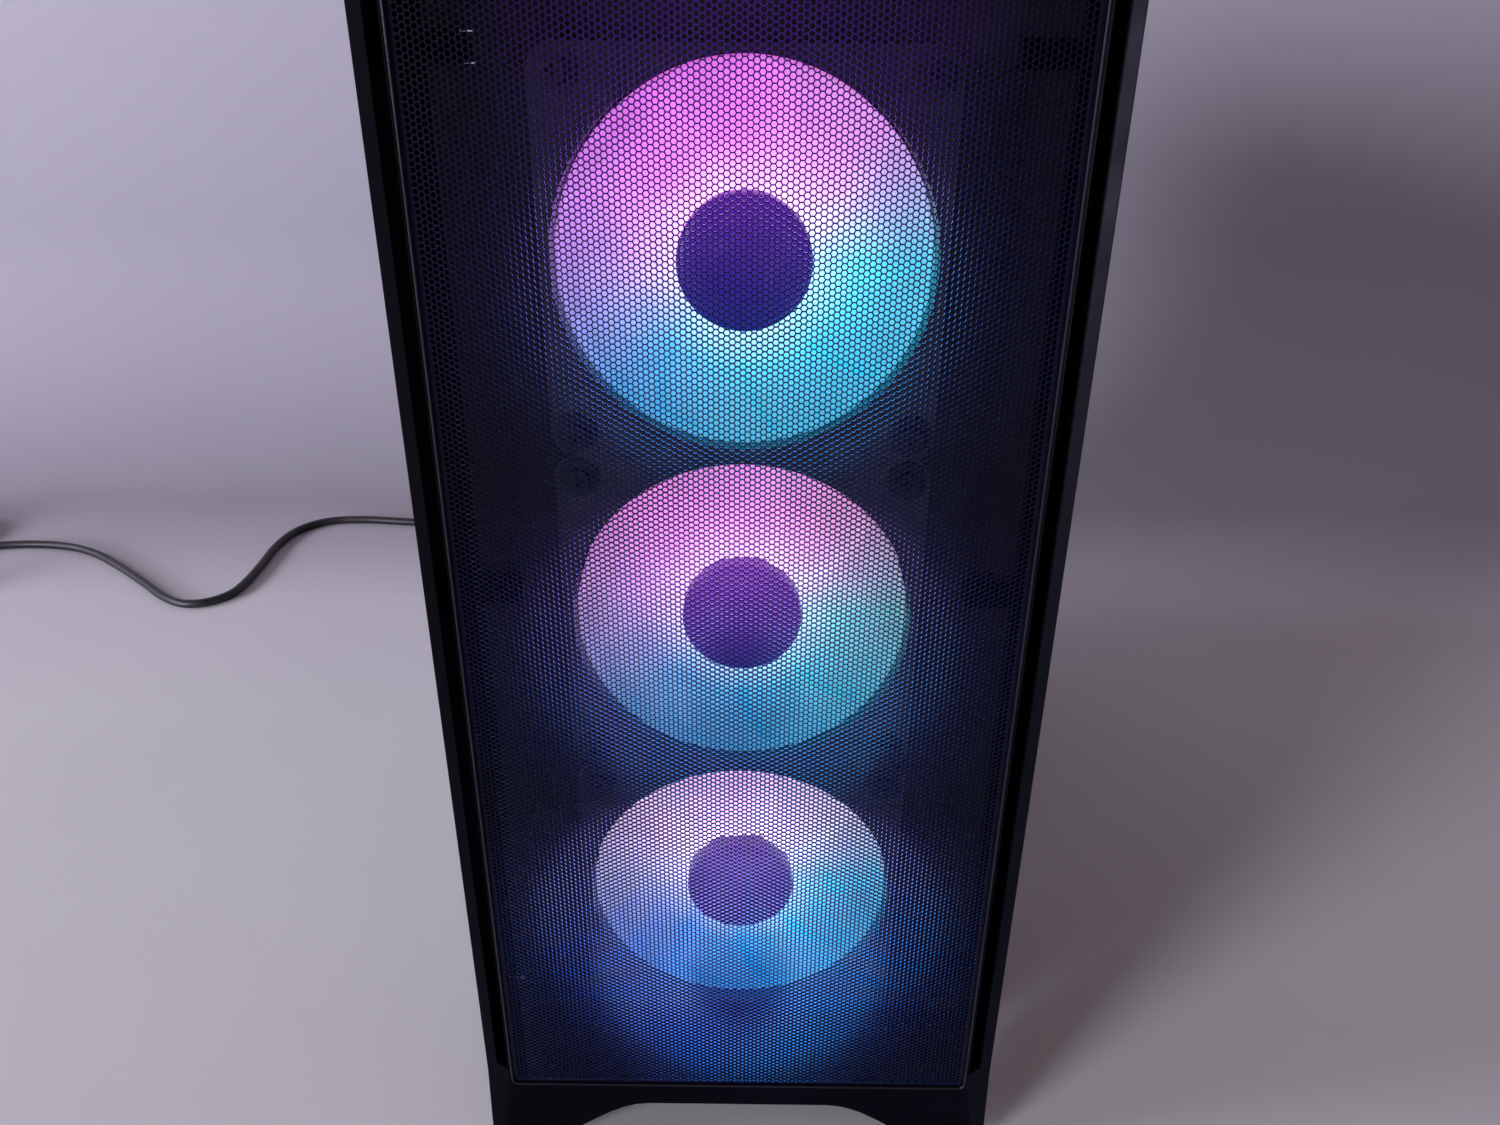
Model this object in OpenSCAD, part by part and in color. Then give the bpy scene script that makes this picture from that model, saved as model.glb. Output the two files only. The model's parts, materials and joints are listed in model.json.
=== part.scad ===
// Upright computer tower: a perforated front over three lit fans that cool a 360 mm liquid radiator.
// Origin: bottom centre, on the surface that the foot pads stand on. +Z is up and the front faces -Y.

/* [Tower] */
// Width over the front panel and both side panels
tower_w = 206; // [200:1:216]
// Depth from the front lip to the rear thumbscrew heads
tower_d = 430; // [430:2:446]
// Height from the pads to the top of the power button
tower_h = 460; // [460:1:480]
// Thickness of the steel sheets
sheet = 1; // [0.8:0.1:1.2]
// Clear height under the bottom plate
foot_h = 24; // [22:1:26]

/* [Front panel] */
// Depth of the moulded front panel
panel_d = 45; // [45:1:48]
// Half-width of the perforated sheet's opening
mesh_x = 91.3; // [90:0.1:91.5]
// Height of the opening's lower edge
mesh_z0 = 36.5; // [36:0.5:38]
// Height of the opening's upper edge
mesh_z1 = 446; // [440:1:446]
// How far the bevelled edges fall back
bevel_d = 6.5; // [5:0.5:7]
// Width of each side air slot
slot_w = 5; // [4.5:0.1:5.2]
// Height of the arch between the front legs
arch_h = 25.5; // [20:0.5:26]

/* [Fans and radiator] */
// Height of the lowest fan's centre
fan_z0 = 121; // [121:1:121]
// Side of a fan and distance between fan centres
fan_size = 120; // [120:1:120]
// Thickness of a fan
fan_t = 25; // [25:1:25]
// Distance between a fan's mounting holes
fan_holes = 105; // [105:1:105]
// Radius of a fan's duct
duct_r = 57.5; // [57:0.1:57.8]
// Radius of a fan's hub
hub_r = 20.5; // [19.5:0.5:21]
// Blades on each fan rotor
blades = 9; // [7:2:11]
// Thickness of the radiator
rad_t = 27; // [27:1:27]
// Length of the radiator
rad_len = 397; // [394:1:397]

/* [Lead] */
// Diameter of the mains lead
lead_d = 6.5; // [6:0.1:7]
// Radius of the coil at the middle of its turns
coil_r = 39; // [36:1:39]

/* [Hidden] */
$fn = 64;

// outer planes of the tower
half_w = tower_w / 2;
front_y = -tower_d / 2;
back_y = tower_d / 2;
panel_y = front_y + panel_d;             // plane where the moulded panel meets the chassis
rear_y = back_y - 9;                     // outer face of the rear plate
plate_z = foot_h;                        // lower face of the bottom plate
top_z = tower_h - 5;                     // upper face of the top plate
left_x = -94.5;                          // chassis edge behind the glass
right_x = 101.5;                         // chassis edge behind the steel panel
fan_z = [for (i = [0:2]) fan_z0 + i * fan_size];
lip_w = 1.3;                             // lip between the perforated sheet and the bevel
shell = 2.5;                             // wall of the front panel
inner_y = panel_y + 40;                  // front edge of the tray and the shroud
tray_x = 82;                             // inner face of the motherboard tray
board_x = tray_x - 7.6;                  // component side of the motherboard
shroud_z = 122;                          // lower face of the power supply shroud's top
cpu = [board_x, 105, 350];               // centre of the processor, on the board's surface
rear_fan = [-33, 375];                   // centre of the rear fan place, across and up
top_fans_y = [-65, 75];                  // centres of the two top fan places
psu_x = 75;                              // half-width of the power supply
psu_y = [65, rear_y - sheet];            // front and back of the power supply
psu_z = [28, 114];                       // bottom and top of the power supply
psu_fan_y = 135;                         // centre of the power supply's own fan
inlet = [-45, 90];                       // centre of the mains inlet, across and up
inlet_pins = [[-7, -2], [0, 2], [7, -2]]; // its three pins, from its centre
rocker = [-10, 90];                      // centre of the rocker switch, across and up
power_xy = [60, -150];
reset_xy = [38, -150];
strip_z = tower_h - 1;                   // top face of the socket strip
side_screw_z = [40, 438];
side_screw_y = [-155, 192];
tab_screw_z = [60, 420];
tab_screw_x = 96;
clip_z = [60, 241, 418];
clip_x = 81.5;                           // middle of the panel's clips, across
filter_z = 18;                           // underside of the lower dust filter

// route of the mains lead, from its connector to its coil, and from the coil to the plug
lead_z = lead_d / 2;
lead_exit = [inlet[0], back_y + 58, inlet[1]];
lead_route = [
    lead_exit, [-45, 290, 88], [-46, 309, 79], [-50, 328, 61], [-58, 346, 39], [-71, 364, 19],
    [-91, 381, 7], [-120, 394, lead_z], [-160, 402, lead_z], [-205, 404, lead_z], [-255, 403, lead_z],
    [-305, 404, lead_z], [-350, 408, lead_z], [-383, 403, lead_z], [-403, 382, lead_z], [-409, 350, lead_z],
    [-408, 315, lead_z], [-408, 285, lead_z], [-412, 262, lead_z], [-425, 248, lead_z], [-444, 246, lead_z],
    [-465, 258, lead_z], [-490, 280, lead_z], [-525, 309, lead_z], [-560, 334, lead_z], [-595, 347, lead_z],
    [-635, 348, lead_z], [-675, 338, lead_z], [-706, 327, lead_z]
];
coil_at = [-719, 364];
tail_route = [
    [-680, 364, 9.9], [-680, 350, 10], [-680, 334, 10.3], [-680, 318, 11], [-681, 300, 13],
    [-683, 282, 15.5], [-684, 262, 18], [-684, 246, 18.5]
];

// the two values h below and above c
function about(c, h) = [c - h, c + h];
function unit(v) = v / norm(v);
// point i of p, carried on past either end
function at(p, i) = i < 0 ? 2 * p[0] - p[1] : i >= len(p) ? 2 * p[len(p) - 1] - p[len(p) - 2] : p[i];
// point between b and c on the smooth curve through a, b, c and d
function blend(a, b, c, d, t) =
    0.5 * (2 * b + (c - a) * t + (2 * a - 5 * b + 4 * c - d) * t * t + (3 * b - a - 3 * c + d) * t * t * t);
// points along a smooth curve through p, with n steps between two points
function smooth(p, n) = [
    for (i = [0:len(p) - 2], k = [0:n - 1]) blend(at(p, i - 1), p[i], p[i + 1], at(p, i + 2), k / n),
    p[len(p) - 1]
];
// points along the cubic curve from a to d that b and c pull
function bezier(a, b, c, d, n) = [
    for (k = [0:n])
        let (t = k / n, s = 1 - t)
        s * s * s * a + 3 * s * s * t * b + 3 * s * t * t * c + t * t * t * d
];
// n points round c, on a circle of radius r square to t
function ring(c, t, r, n) =
    let (u = unit(cross(t, [0, 0, 1])), v = cross(u, t))
    [for (k = [0:n - 1]) c + r * (cos(360 * k / n) * u + sin(360 * k / n) * v)];

// box between two values on each axis
module span(x, y, z) {
    translate([x[0], y[0], z[0]]) cube([x[1] - x[0], y[1] - y[0], z[1] - z[0]]);
}

// cylinder of radius r along +Y, from y0 to y1, through the point (x, z)
module rod_y(r, y0, y1, x = 0, z = 0, sides = 64) {
    translate([x, y0, z]) rotate([-90, 0, 0]) cylinder(r = r, h = y1 - y0, $fn = sides);
}

// cylinder of radius r along +X, from x0 to x1, through the point (y, z)
module rod_x(r, x0, x1, y = 0, z = 0, sides = 64) {
    translate([x0, y, z]) rotate([0, 90, 0]) cylinder(r = r, h = x1 - x0, $fn = sides);
}

// rectangle with round corners, centred
module soft_rect(w, h, r) {
    square([w - 2 * r, h], center = true);
    square([w, h - 2 * r], center = true);
    for (x = [-1, 1], y = [-1, 1]) {
        translate([x * (w / 2 - r), y * (h / 2 - r)]) circle(r = r, $fn = 32);
    }
}

// tube that follows the points p
module sweep(p, r, n) {
    last = len(p) - 1;
    t = [for (i = [0:last]) unit(p[min(i + 1, last)] - p[max(i - 1, 0)])];
    points = [for (i = [0:last]) each ring(p[i], t[i], r, n)];
    walls = [
        for (i = [0:last - 1], k = [0:n - 1])
            let (a = i * n + k, b = i * n + (k + 1) % n)
            each [[a, b, a + n], [b, b + n, a + n]]
    ];
    ends = [[for (k = [n - 1:-1:0]) k], [for (k = [0:n - 1]) last * n + k]];
    polyhedron(points, concat(ends, walls));
}

// places children at the four holes of a fan, across x and up z
module fan_corners(x = 0, z = 0) {
    for (i = [-1, 1], k = [-1, 1]) {
        translate([x + i * fan_holes / 2, 0, z + k * fan_holes / 2]) children();
    }
}

// turns a shape that was drawn on the fan's back plane, rising forwards, into its place
module on_fan(i) {
    translate([0, panel_y, fan_z[i]]) rotate([90, 0, 0]) children();
}

// slab that lies in front of the plane through p with outward normal n
module trim_plane(p, n) {
    reach = 500;
    translate(p)
        rotate([0, acos(n[2] / norm(n)), atan2(n[1], n[0])])
            translate([-reach, -reach, 0]) cube([2 * reach, 2 * reach, 60]);
}

// ---- chassis ----

// row of parallel air slots across x, each running along y
module air_slots(x, y, count, pitch, w, length, z0, z1) {
    for (i = [0:count - 1]) {
        sx = x + (i - (count - 1) / 2) * pitch;
        span([sx - w / 2, sx + w / 2], [y - length / 2, y + length / 2], [z0, z1]);
    }
}

module chassis_bottom() {
    color("#18181c") {
        difference() {
            span([left_x, right_x], [panel_y + sheet, rear_y - sheet], [plate_z, plate_z + sheet]);
            air_slots(0, psu_fan_y, 11, 10, 6, 108, plate_z - 1, plate_z + 2);
        }
        for (x = [left_x, right_x - sheet]) {
            span([x, x + sheet], [panel_y + 25, rear_y - 27], [plate_z + sheet, plate_z + 13]);
        }
        // rails that carry the lower dust filter
        for (s = [0, 1]) mirror([s, 0, 0]) {
            span([72.5, 74], [60, rear_y - sheet], [filter_z - 1.5, plate_z]);
            span([70, 72.5], [60, rear_y - sheet], [filter_z - 1.5, filter_z - 0.3]);
        }
    }
}

module chassis_front() {
    top = mesh_z1;
    color("#18181c") difference() {
        union() {
            span([left_x, right_x], [panel_y, panel_y + sheet], [plate_z, top]);
            for (x = [left_x, right_x - sheet]) {
                span([x, x + sheet], [panel_y + sheet, panel_y + 25], [plate_z + sheet, top]);
            }
            for (z = side_screw_z) rod_x(4.2, left_x + sheet, left_x + 6, side_screw_y[0], z);
        }
        for (z = fan_z) {
            rod_y(58, panel_y - 1, panel_y + 2, 0, z);
            fan_corners(0, z) rod_y(2.3, panel_y - 1, panel_y + 2);
        }
        for (z = side_screw_z) rod_x(2.1, left_x - 1, left_x + 7, side_screw_y[0], z);
        for (x = [-clip_x, clip_x], z = clip_z) {
            span([x - 2, x + 2], [panel_y - 1, panel_y + 2], [z - 4.5, z + 4.5]);
        }
    }
}

module chassis_rear() {
    y0 = rear_y - sheet;
    color("#18181c") difference() {
        union() {
            span([left_x, right_x], [y0, rear_y], [plate_z, top_z]);
            for (x = [left_x, right_x - sheet]) {
                span([x, x + sheet], [rear_y - 26, y0], [plate_z + sheet, top_z - sheet]);
            }
            for (z = side_screw_z) rod_x(4.2, left_x + sheet, left_x + 6, side_screw_y[1], z);
            for (z = tab_screw_z) rod_y(4.2, y0 - 5, y0, tab_screw_x, z);
        }
        for (z = side_screw_z) rod_x(2.1, left_x - 1, left_x + 7, side_screw_y[1], z);
        for (z = tab_screw_z) rod_y(2.1, y0 - 6, rear_y + 1, tab_screw_x, z);
        // connector cut-out, expansion slots and power supply opening
        span([28, 72.45], [y0 - 1, rear_y + 1], [272.5, 431.25]);
        for (k = [0:6]) span([-36, 66], [y0 - 1, rear_y + 1], [255, 269] - [1, 1] * 20.32 * k);
        span([-psu_x + 5, psu_x - 5], [y0 - 1, rear_y + 1], [psu_z[0] + 5, psu_z[1] - 5]);
        // grille of the rear fan place
        intersection() {
            rod_y(56, y0 - 1, rear_y + 1, rear_fan[0], rear_fan[1]);
            for (i = [-6:6]) {
                x = rear_fan[0] + i * 9;
                span([x - 3, x + 3], [y0 - 1, rear_y + 1], about(rear_fan[1], 60));
            }
        }
        fan_corners(rear_fan[0], rear_fan[1]) rod_y(2.2, y0 - 1, rear_y + 1);
    }
}

module chassis_top() {
    y0 = panel_y + 39;
    color("#18181c") {
        difference() {
            span([left_x, right_x], [y0, rear_y - sheet], [top_z - sheet, top_z]);
            for (y = top_fans_y) {
                air_slots(0, y, 11, 9.2, 5.6, 108, top_z - 2, top_z + 1);
                for (i = [-1, 1], k = [-1, 1]) {
                    translate([i * fan_holes / 2, y + k * fan_holes / 2, top_z - 2]) cylinder(r = 2.2, h = 4);
                }
            }
        }
        for (x = [left_x, right_x - sheet]) {
            span([x, x + sheet], [y0, rear_y - 27], [top_z - 12, top_z - sheet]);
        }
    }
}

module motherboard_tray() {
    x1 = tray_x + sheet;
    z1 = top_z - sheet;
    color("#18181c") {
        difference() {
            span([tray_x, x1], [inner_y, rear_y - sheet], [plate_z + sheet, z1]);
            // window behind the processor, and cable holes in front of the board
            span([tray_x - 1, x1 + 1], [cpu[1] - 45, cpu[1] + 45], [cpu[2] - 50, cpu[2] + 50]);
            for (z = [150, 260, 370]) span([tray_x - 1, x1 + 1], [-92, -54], [z, z + 42]);
        }
        for (y = [-32, 42, 196], z = [142, 268, 433]) rod_x(3, tray_x - 6, tray_x, y, z);
    }
}

module psu_shroud() {
    color("#1b1b20") {
        difference() {
            span([left_x + sheet, tray_x], [inner_y, rear_y - sheet], [shroud_z, shroud_z + sheet]);
            for (x = [-60, 0]) span([x, x + 42], [10, 34], [shroud_z - 1, shroud_z + 2]);
        }
        span([left_x + sheet, left_x + 2 * sheet], [inner_y, rear_y - 27], [plate_z + sheet, shroud_z]);
    }
}

module slot_covers() {
    y0 = rear_y - sheet;
    color("#202026") for (k = [0:6]) {
        z = 262 - 20.32 * k;
        difference() {
            span([-40, 70], [y0 - 1, y0], [z - 9.2, z + 9.2]);
            for (i = [0:7]) span([-30 + 12 * i, -24 + 12 * i], [y0 - 2, y0 + 1], [z - 4, z + 4]);
        }
    }
}

module connector_shield() {
    color("#8a8c92") difference() {
        span([28.1, 72.3], [rear_y - 1.8, rear_y - 0.6], [272.6, 431.1]);
        for (p = io_blocks) span([p[0] - 14, p[0] + 14], [rear_y - 3, rear_y + 1], [p[1] - 8, p[1] + 8]);
    }
}

// centres of the board's rear connectors, across and up
io_blocks = [for (k = [0:5]) [board_x - 17, 286 + 26 * k]];

module drive_cage() {
    x = [-60, 44];
    y = [-124, 26];
    z0 = plate_z + sheet;
    color("#222228") {
        for (z = [z0, z0 + 32, z0 + 64]) span(x, y, [z, z + sheet]);
        for (sx = [x[0] - sheet, x[1]]) {
            difference() {
                span([sx, sx + sheet], y, [z0, z0 + 64 + sheet]);
                for (k = [0:2]) span([sx - 1, sx + 2], [-114 + 46 * k, -80 + 46 * k], [z0 + 8, z0 + 26]);
            }
        }
    }
}

foot_places = [for (x = [-85, 90], y = [-147, 170]) [x, y]];

module feet() {
    color("#101012") for (p = foot_places) {
        translate([p[0] - 8, p[1], 0]) rotate([90, 0, 90])
            linear_extrude(16) polygon([[-19, foot_h], [-14, 3], [14, 3], [19, foot_h]]);
    }
}

module foot_pads() {
    color("#2a2a2a") for (p = foot_places) {
        translate([p[0], p[1], 0]) cylinder(r = 6.5, h = 3);
    }
}

// ---- front panel ----

bevel_x = mesh_x + lip_w;                 // where the bevel starts, across
bevel_n = [bevel_d, -(half_w - bevel_x), 0];
// below the opening the bevel's inner edge leans outwards, so its plane is tilted
low_lean = 3.4 / 21.9;
low_n = [bevel_d, -(half_w - bevel_x), bevel_d * low_lean];

// outline of the arch between the legs, as a half wave at each end
arch_in = 36;
arch_out = 90;
module arch_outline() {
    steps = 10;
    side = [for (k = [0:steps]) let (t = k / steps)
        [arch_in + (arch_out - arch_in) * t, arch_h * (0.5 + 0.5 * cos(180 * t))]];
    polygon(concat(
        [[-arch_out, -1]],
        [for (k = [steps:-1:0]) [-side[k][0], side[k][1]]],
        side,
        [[arch_out, -1]]
    ));
}

module front_panel_frame() {
    leg_z = 4;
    rib_x = mesh_x + lip_w;               // outer face of the rib beside the opening
    slot_x = rib_x + 0.1;                 // inner side of the air slot
    ledge_x = mesh_x - 1.8;               // ledge behind the sheet
    wall_x = half_w - shell;              // inner face of the side wall
    cap_z = strip_z - 2.5;
    color("#0c0c10") difference() {
        union() {
            difference() {
                span([-half_w, half_w], [front_y, panel_y], [leg_z, strip_z]);
                for (s = [0, 1]) mirror([s, 0, 0]) {
                    intersection() {
                        trim_plane([bevel_x, front_y, mesh_z0], bevel_n);
                        span([0, 150], [front_y - 40, panel_y], [mesh_z0, strip_z + 1]);
                    }
                    intersection() {
                        trim_plane([bevel_x, front_y, mesh_z0], low_n);
                        span([0, 150], [front_y - 40, panel_y], [0, mesh_z0]);
                    }
                    // hollow beside the opening, behind the air slot
                    linear_extrude_at(mesh_z0 + 2, cap_z) polygon([
                        [rib_x, front_y + 3.6], [wall_x, front_y + 8.6],
                        [wall_x, panel_y + 1], [rib_x, panel_y + 1]
                    ]);
                    span([slot_x, slot_x + slot_w], [front_y - 1, front_y + 12], [mesh_z0 + 7.5, mesh_z1]);
                }
                // hollow behind the opening, open to the side hollows past the rib
                span([-ledge_x, ledge_x], [front_y + 3, panel_y + 1], [mesh_z0 + 2, cap_z]);
                span([-wall_x, wall_x], [front_y + 15, panel_y + 1], [mesh_z0 + 2, cap_z]);
                // opening, and the rebate that holds the sheet
                span([-ledge_x, ledge_x], [front_y - 1, front_y + 4], [mesh_z0 + 1.8, mesh_z1 - 1.8]);
                span([-mesh_x, mesh_x], [front_y - 1, front_y + 1.4], [mesh_z0, mesh_z1]);
                // hollows above and under the shelf, and the arch between the legs
                span([-wall_x, wall_x], [front_y + 8, panel_y + 1], [mesh_z0 - 6, mesh_z0 + 3]);
                span([-wall_x, wall_x], [front_y + 8, panel_y + 1], [0, mesh_z0 - 9]);
                translate([0, panel_y + 1, 0]) rotate([90, 0, 0]) linear_extrude(panel_d + 2) arch_outline();
            }
            // clips that hold the panel on the chassis
            for (s = [0, 1]) mirror([s, 0, 0]) for (z = clip_z) {
                span([clip_x - 1.5, wall_x + 0.5], [panel_y - 6, panel_y - 1], [z - 4, z + 4]);
                span([clip_x - 1.5, clip_x + 1.5], [panel_y - 2, panel_y + 4.5], [z - 4, z + 4]);
            }
        }
    }
}

module linear_extrude_at(z0, z1) {
    translate([0, 0, z0]) linear_extrude(z1 - z0) children();
}

module front_mesh() {
    play = 0.1;
    color("#141420") span(
        [-mesh_x + play, mesh_x - play], [front_y + 0.6, front_y + 1.4], [mesh_z0 + play, mesh_z1 - play]
    );
}

// ---- socket strip ----

usb_x = [-30, -8];
audio_x = [-66, -52];
strip_y = [panel_y + 0.2, panel_y + 38.8];
strip_under = strip_z - 3;                // underside of the strip's top
strip_low = mesh_z1;
strip_board_z = strip_low + 2.6;          // upper face of the strip's circuit board
usb_size = [14.4, 7];

module top_strip() {
    y_mid = power_xy[1];
    color("#0c0c10") difference() {
        union() {
            span([-half_w, half_w], strip_y, [strip_under, strip_z]);
            span([left_x + 0.5, right_x - 0.5], strip_y, [strip_low, strip_under]);
        }
        span([left_x + 2.5, right_x - 2.5], [strip_y[0] + 2, strip_y[1] - 2], [strip_low - 1, strip_under]);
        translate([power_xy[0], y_mid, strip_low]) cylinder(r = 7.3, h = 20);
        translate([reset_xy[0], y_mid, strip_low]) cylinder(r = 3.3, h = 20);
        for (x = usb_x) {
            span(about(x, usb_size[0] / 2), about(y_mid, usb_size[1] / 2), [strip_low, strip_z + 1]);
        }
        for (x = audio_x) translate([x, y_mid, strip_low]) cylinder(r = 3.3, h = 20);
    }
}

// circuit board with the audio sockets and the two switches under the buttons
module strip_board() {
    y = power_xy[1];
    color("#1c2a22") {
        span([-82, 76], about(y, 15), [strip_board_z - 1.6, strip_board_z]);
        for (x = audio_x) translate([x, y, strip_board_z]) difference() {
            union() {
                span([-5, 5], [-7, 7], [0, strip_under - strip_board_z - 0.4]);
                cylinder(r = 3.2, h = strip_z - strip_board_z);
            }
            translate([0, 0, 1]) cylinder(r = 1.8, h = 13);
        }
        for (p = [power_xy, reset_xy]) translate([p[0], p[1], strip_board_z]) {
            span([-3, 3], [-3, 3], [0, 2]);
            cylinder(r = 1.7, h = 2.8);
        }
    }
}

// cap with a collar under the strip and a stem over its switch, r is the cap's radius
module push_button(at_xy, r, proud) {
    translate([at_xy[0], at_xy[1], 0]) {
        translate([0, 0, strip_under - 1]) cylinder(r = r, h = 4 + proud);
        translate([0, 0, strip_under - 1.4]) cylinder(r = r + 1.2, h = 1.2);
        translate([0, 0, strip_board_z + 4.4]) cylinder(r = 1.5, h = 2);
    }
}

module power_button() {
    color("#2a2a30") push_button(power_xy, 7, 1);
}

module reset_button() {
    color("#2a2a30") push_button(reset_xy, 3, 0.5);
}

module usb_sockets() {
    y = power_xy[1];
    color("#1f4fa8") for (x = usb_x) difference() {
        span(about(x, usb_size[0] / 2), about(y, usb_size[1] / 2), [strip_board_z, strip_z]);
        difference() {
            span(about(x, 6.2), about(y, 2.5), [strip_board_z + 1, strip_z + 1]);
            span(about(x, 5.6), [y + 0.7, y + 2.5], [strip_board_z + 1, strip_z - 1]);
        }
    }
}

// ---- side panels and filters ----

module glass_panel() {
    color([0.2, 0.22, 0.26, 0.4]) difference() {
        span([-99, -95], [panel_y + 2.5, rear_y - sheet], [plate_z + 2, top_z - 2]);
        for (y = side_screw_y, z = side_screw_z) rod_x(2.5, -100, -94, y, z);
    }
}

module glass_thumbscrews() {
    color("#1a1a1e") for (y = side_screw_y, z = side_screw_z) {
        rod_x(7, -half_w, -99, y, z);
        rod_x(1.9, -99, -90, y, z);
    }
}

module steel_panel() {
    tab_y = rear_y + 0.2;
    color("#131318") difference() {
        union() {
            span([half_w - sheet, half_w], [panel_y + 0.5, tab_y + sheet], [plate_z + 2, top_z - 0.5]);
            span([tab_screw_x - 6, half_w], [tab_y, tab_y + sheet], [plate_z + 2, top_z - 0.5]);
        }
        for (z = tab_screw_z) rod_y(1.9, tab_y - 1, tab_y + 2, tab_screw_x, z);
    }
}

module rear_thumbscrews() {
    y0 = rear_y + 0.2 + sheet;
    color("#1a1a1e") for (z = tab_screw_z) {
        rod_y(6, y0, back_y, tab_screw_x, z);
        rod_y(1.7, rear_y - 10, y0, tab_screw_x, z);
    }
}

module top_filter() {
    color("#101014") difference() {
        span([-84, 84], [-126, 198], [top_z, top_z + 2]);
        for (y = [-84, -3, 78, 157]) air_slots(0, y, 25, 6, 3.6, 74, top_z - 1, top_z + 3);
    }
}

module psu_filter() {
    color("#101014") {
        difference() {
            span([-71.8, 71.8], [62, rear_y], [filter_z, filter_z + 3]);
            air_slots(0, psu_fan_y, 20, 6.6, 3.8, 128, filter_z - 1, filter_z + 4);
        }
        span([-18, 18], [rear_y, back_y - 1], [filter_z - 3, filter_z + 3]);
    }
}

// ---- fans ----

module fan_frame(i) {
    flange = 4;
    color("#101014") on_fan(i) {
        difference() {
            union() {
                for (z = [0, fan_t - flange]) {
                    translate([0, 0, z]) linear_extrude(flange) soft_rect(fan_size, fan_size, 7);
                }
                cylinder(r = duct_r + 1.6, h = fan_t);
                for (x = [-1, 1], y = [-1, 1]) {
                    translate([x * fan_holes / 2, y * fan_holes / 2, 0]) cylinder(r = 4.6, h = fan_t);
                }
            }
            translate([0, 0, -1]) cylinder(r = duct_r, h = fan_t + 2, $fn = 96);
            for (x = [-1, 1], y = [-1, 1]) {
                translate([x * fan_holes / 2, y * fan_holes / 2, -1]) cylinder(r = 2.15, h = fan_t + 2);
            }
        }
        difference() {
            union() {
                cylinder(r = 21, h = flange);
                for (a = [45:90:315]) rotate(a) translate([19, -2, 0]) cube([duct_r - 18.5, 4, 3]);
                cylinder(r = 4.5, h = 17);
            }
            translate([0, 0, flange]) cylinder(r = 3, h = 20);
        }
    }
}

module fan_rotor(i) {
    chord = 22;
    color([0.92, 0.9, 0.96, 0.8]) on_fan(i) {
        difference() {
            union() {
                translate([0, 0, 6.5]) cylinder(r = hub_r, h = 16);
                translate([0, 0, 22.5]) cylinder(r1 = hub_r, r2 = hub_r - 1, h = 1);
            }
            translate([0, 0, 5]) cylinder(r = hub_r - 2.3, h = 16.5);
        }
        difference() {
            translate([0, 0, 17.6]) cylinder(r = 3.2, h = 4.4);
            translate([0, 0, 16]) cylinder(r = 1.5, h = 5.5);
        }
        difference() {
            intersection() {
                for (k = [0:blades - 1]) {
                    rotate(360 * k / blades) translate([38, 0, 14.5])
                        rotate([40, 0, 0]) cube([40, chord, 1.6], center = true);
                }
                translate([0, 0, 6.5]) cylinder(r = duct_r - 1, h = 16, $fn = 96);
            }
            translate([0, 0, 5]) cylinder(r = hub_r - 1, h = 20);
        }
    }
}

module fan_shaft(i) {
    color("#b8bac0") on_fan(i) translate([0, 0, 4.5]) cylinder(r = 1.5, h = 17, $fn = 48);
}

module fan_stators() {
    color("#b06a3a") for (i = [0:2]) on_fan(i) translate([0, 0, 7]) difference() {
        cylinder(r = 16, h = 7);
        translate([0, 0, -1]) cylinder(r = 4.5, h = 9);
        for (a = [0:90:270]) rotate(a + 45) translate([8, -1.5, -1]) cube([10, 3, 9]);
    }
}

module fan_bearings() {
    color("#b08d57") for (i = [0:2]) on_fan(i) translate([0, 0, 4]) difference() {
        cylinder(r = 3, h = 12);
        translate([0, 0, -1]) cylinder(r = 1.54, h = 14, $fn = 48);
    }
}

module fan_light_boards() {
    color("#e8e8ee") for (i = [0:2]) on_fan(i) {
        translate([0, 0, 4]) difference() {
            cylinder(r = 20, h = 1.2);
            translate([0, 0, -1]) cylinder(r = 4.5, h = 4);
        }
        for (a = [0:30:330]) rotate(a) translate([16.6, -1.3, 5.2]) cube([2.6, 2.6, 0.9]);
    }
}

module fan_pads() {
    color("#26262c") for (z = fan_z) fan_corners(0, z) difference() {
        rod_y(6.4, panel_y - fan_t - 1, panel_y - fan_t);
        rod_y(2.3, panel_y - fan_t - 2, panel_y);
    }
}

module fan_screws() {
    head_y = panel_y - fan_t - 1;
    color("#3a3a40") for (z = fan_z) fan_corners(0, z) {
        difference() {
            rod_y(3.5, head_y - 2.4, head_y);
            for (a = [0, 90]) rotate([0, a, 0]) span([-2, 2], [head_y - 3, head_y - 1.2], [-0.4, 0.4]);
        }
        rod_y(1.7, head_y, panel_y + 7);
    }
}

// ---- liquid cooling loop ----

rad_y = [panel_y + sheet, panel_y + sheet + rad_t];
rad_z = about(fan_z[1], rad_len / 2);
core_z = [rad_z[0] + 19.5, rad_z[1] - 19.5];
rail_in = 46;                            // inner face of the rails
hose_r = 6.3;

module radiator_core() {
    color("#1c1c20") {
        for (i = [0:9]) {
            x = (i - 4.5) * 9.2;
            span([x - 1, x + 1], [rad_y[0] + 1, rad_y[1] - 1], core_z);
        }
        span([-rail_in, rail_in], [rad_y[0] + 1.8, rad_y[1] - 1.8], core_z);
    }
}

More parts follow.
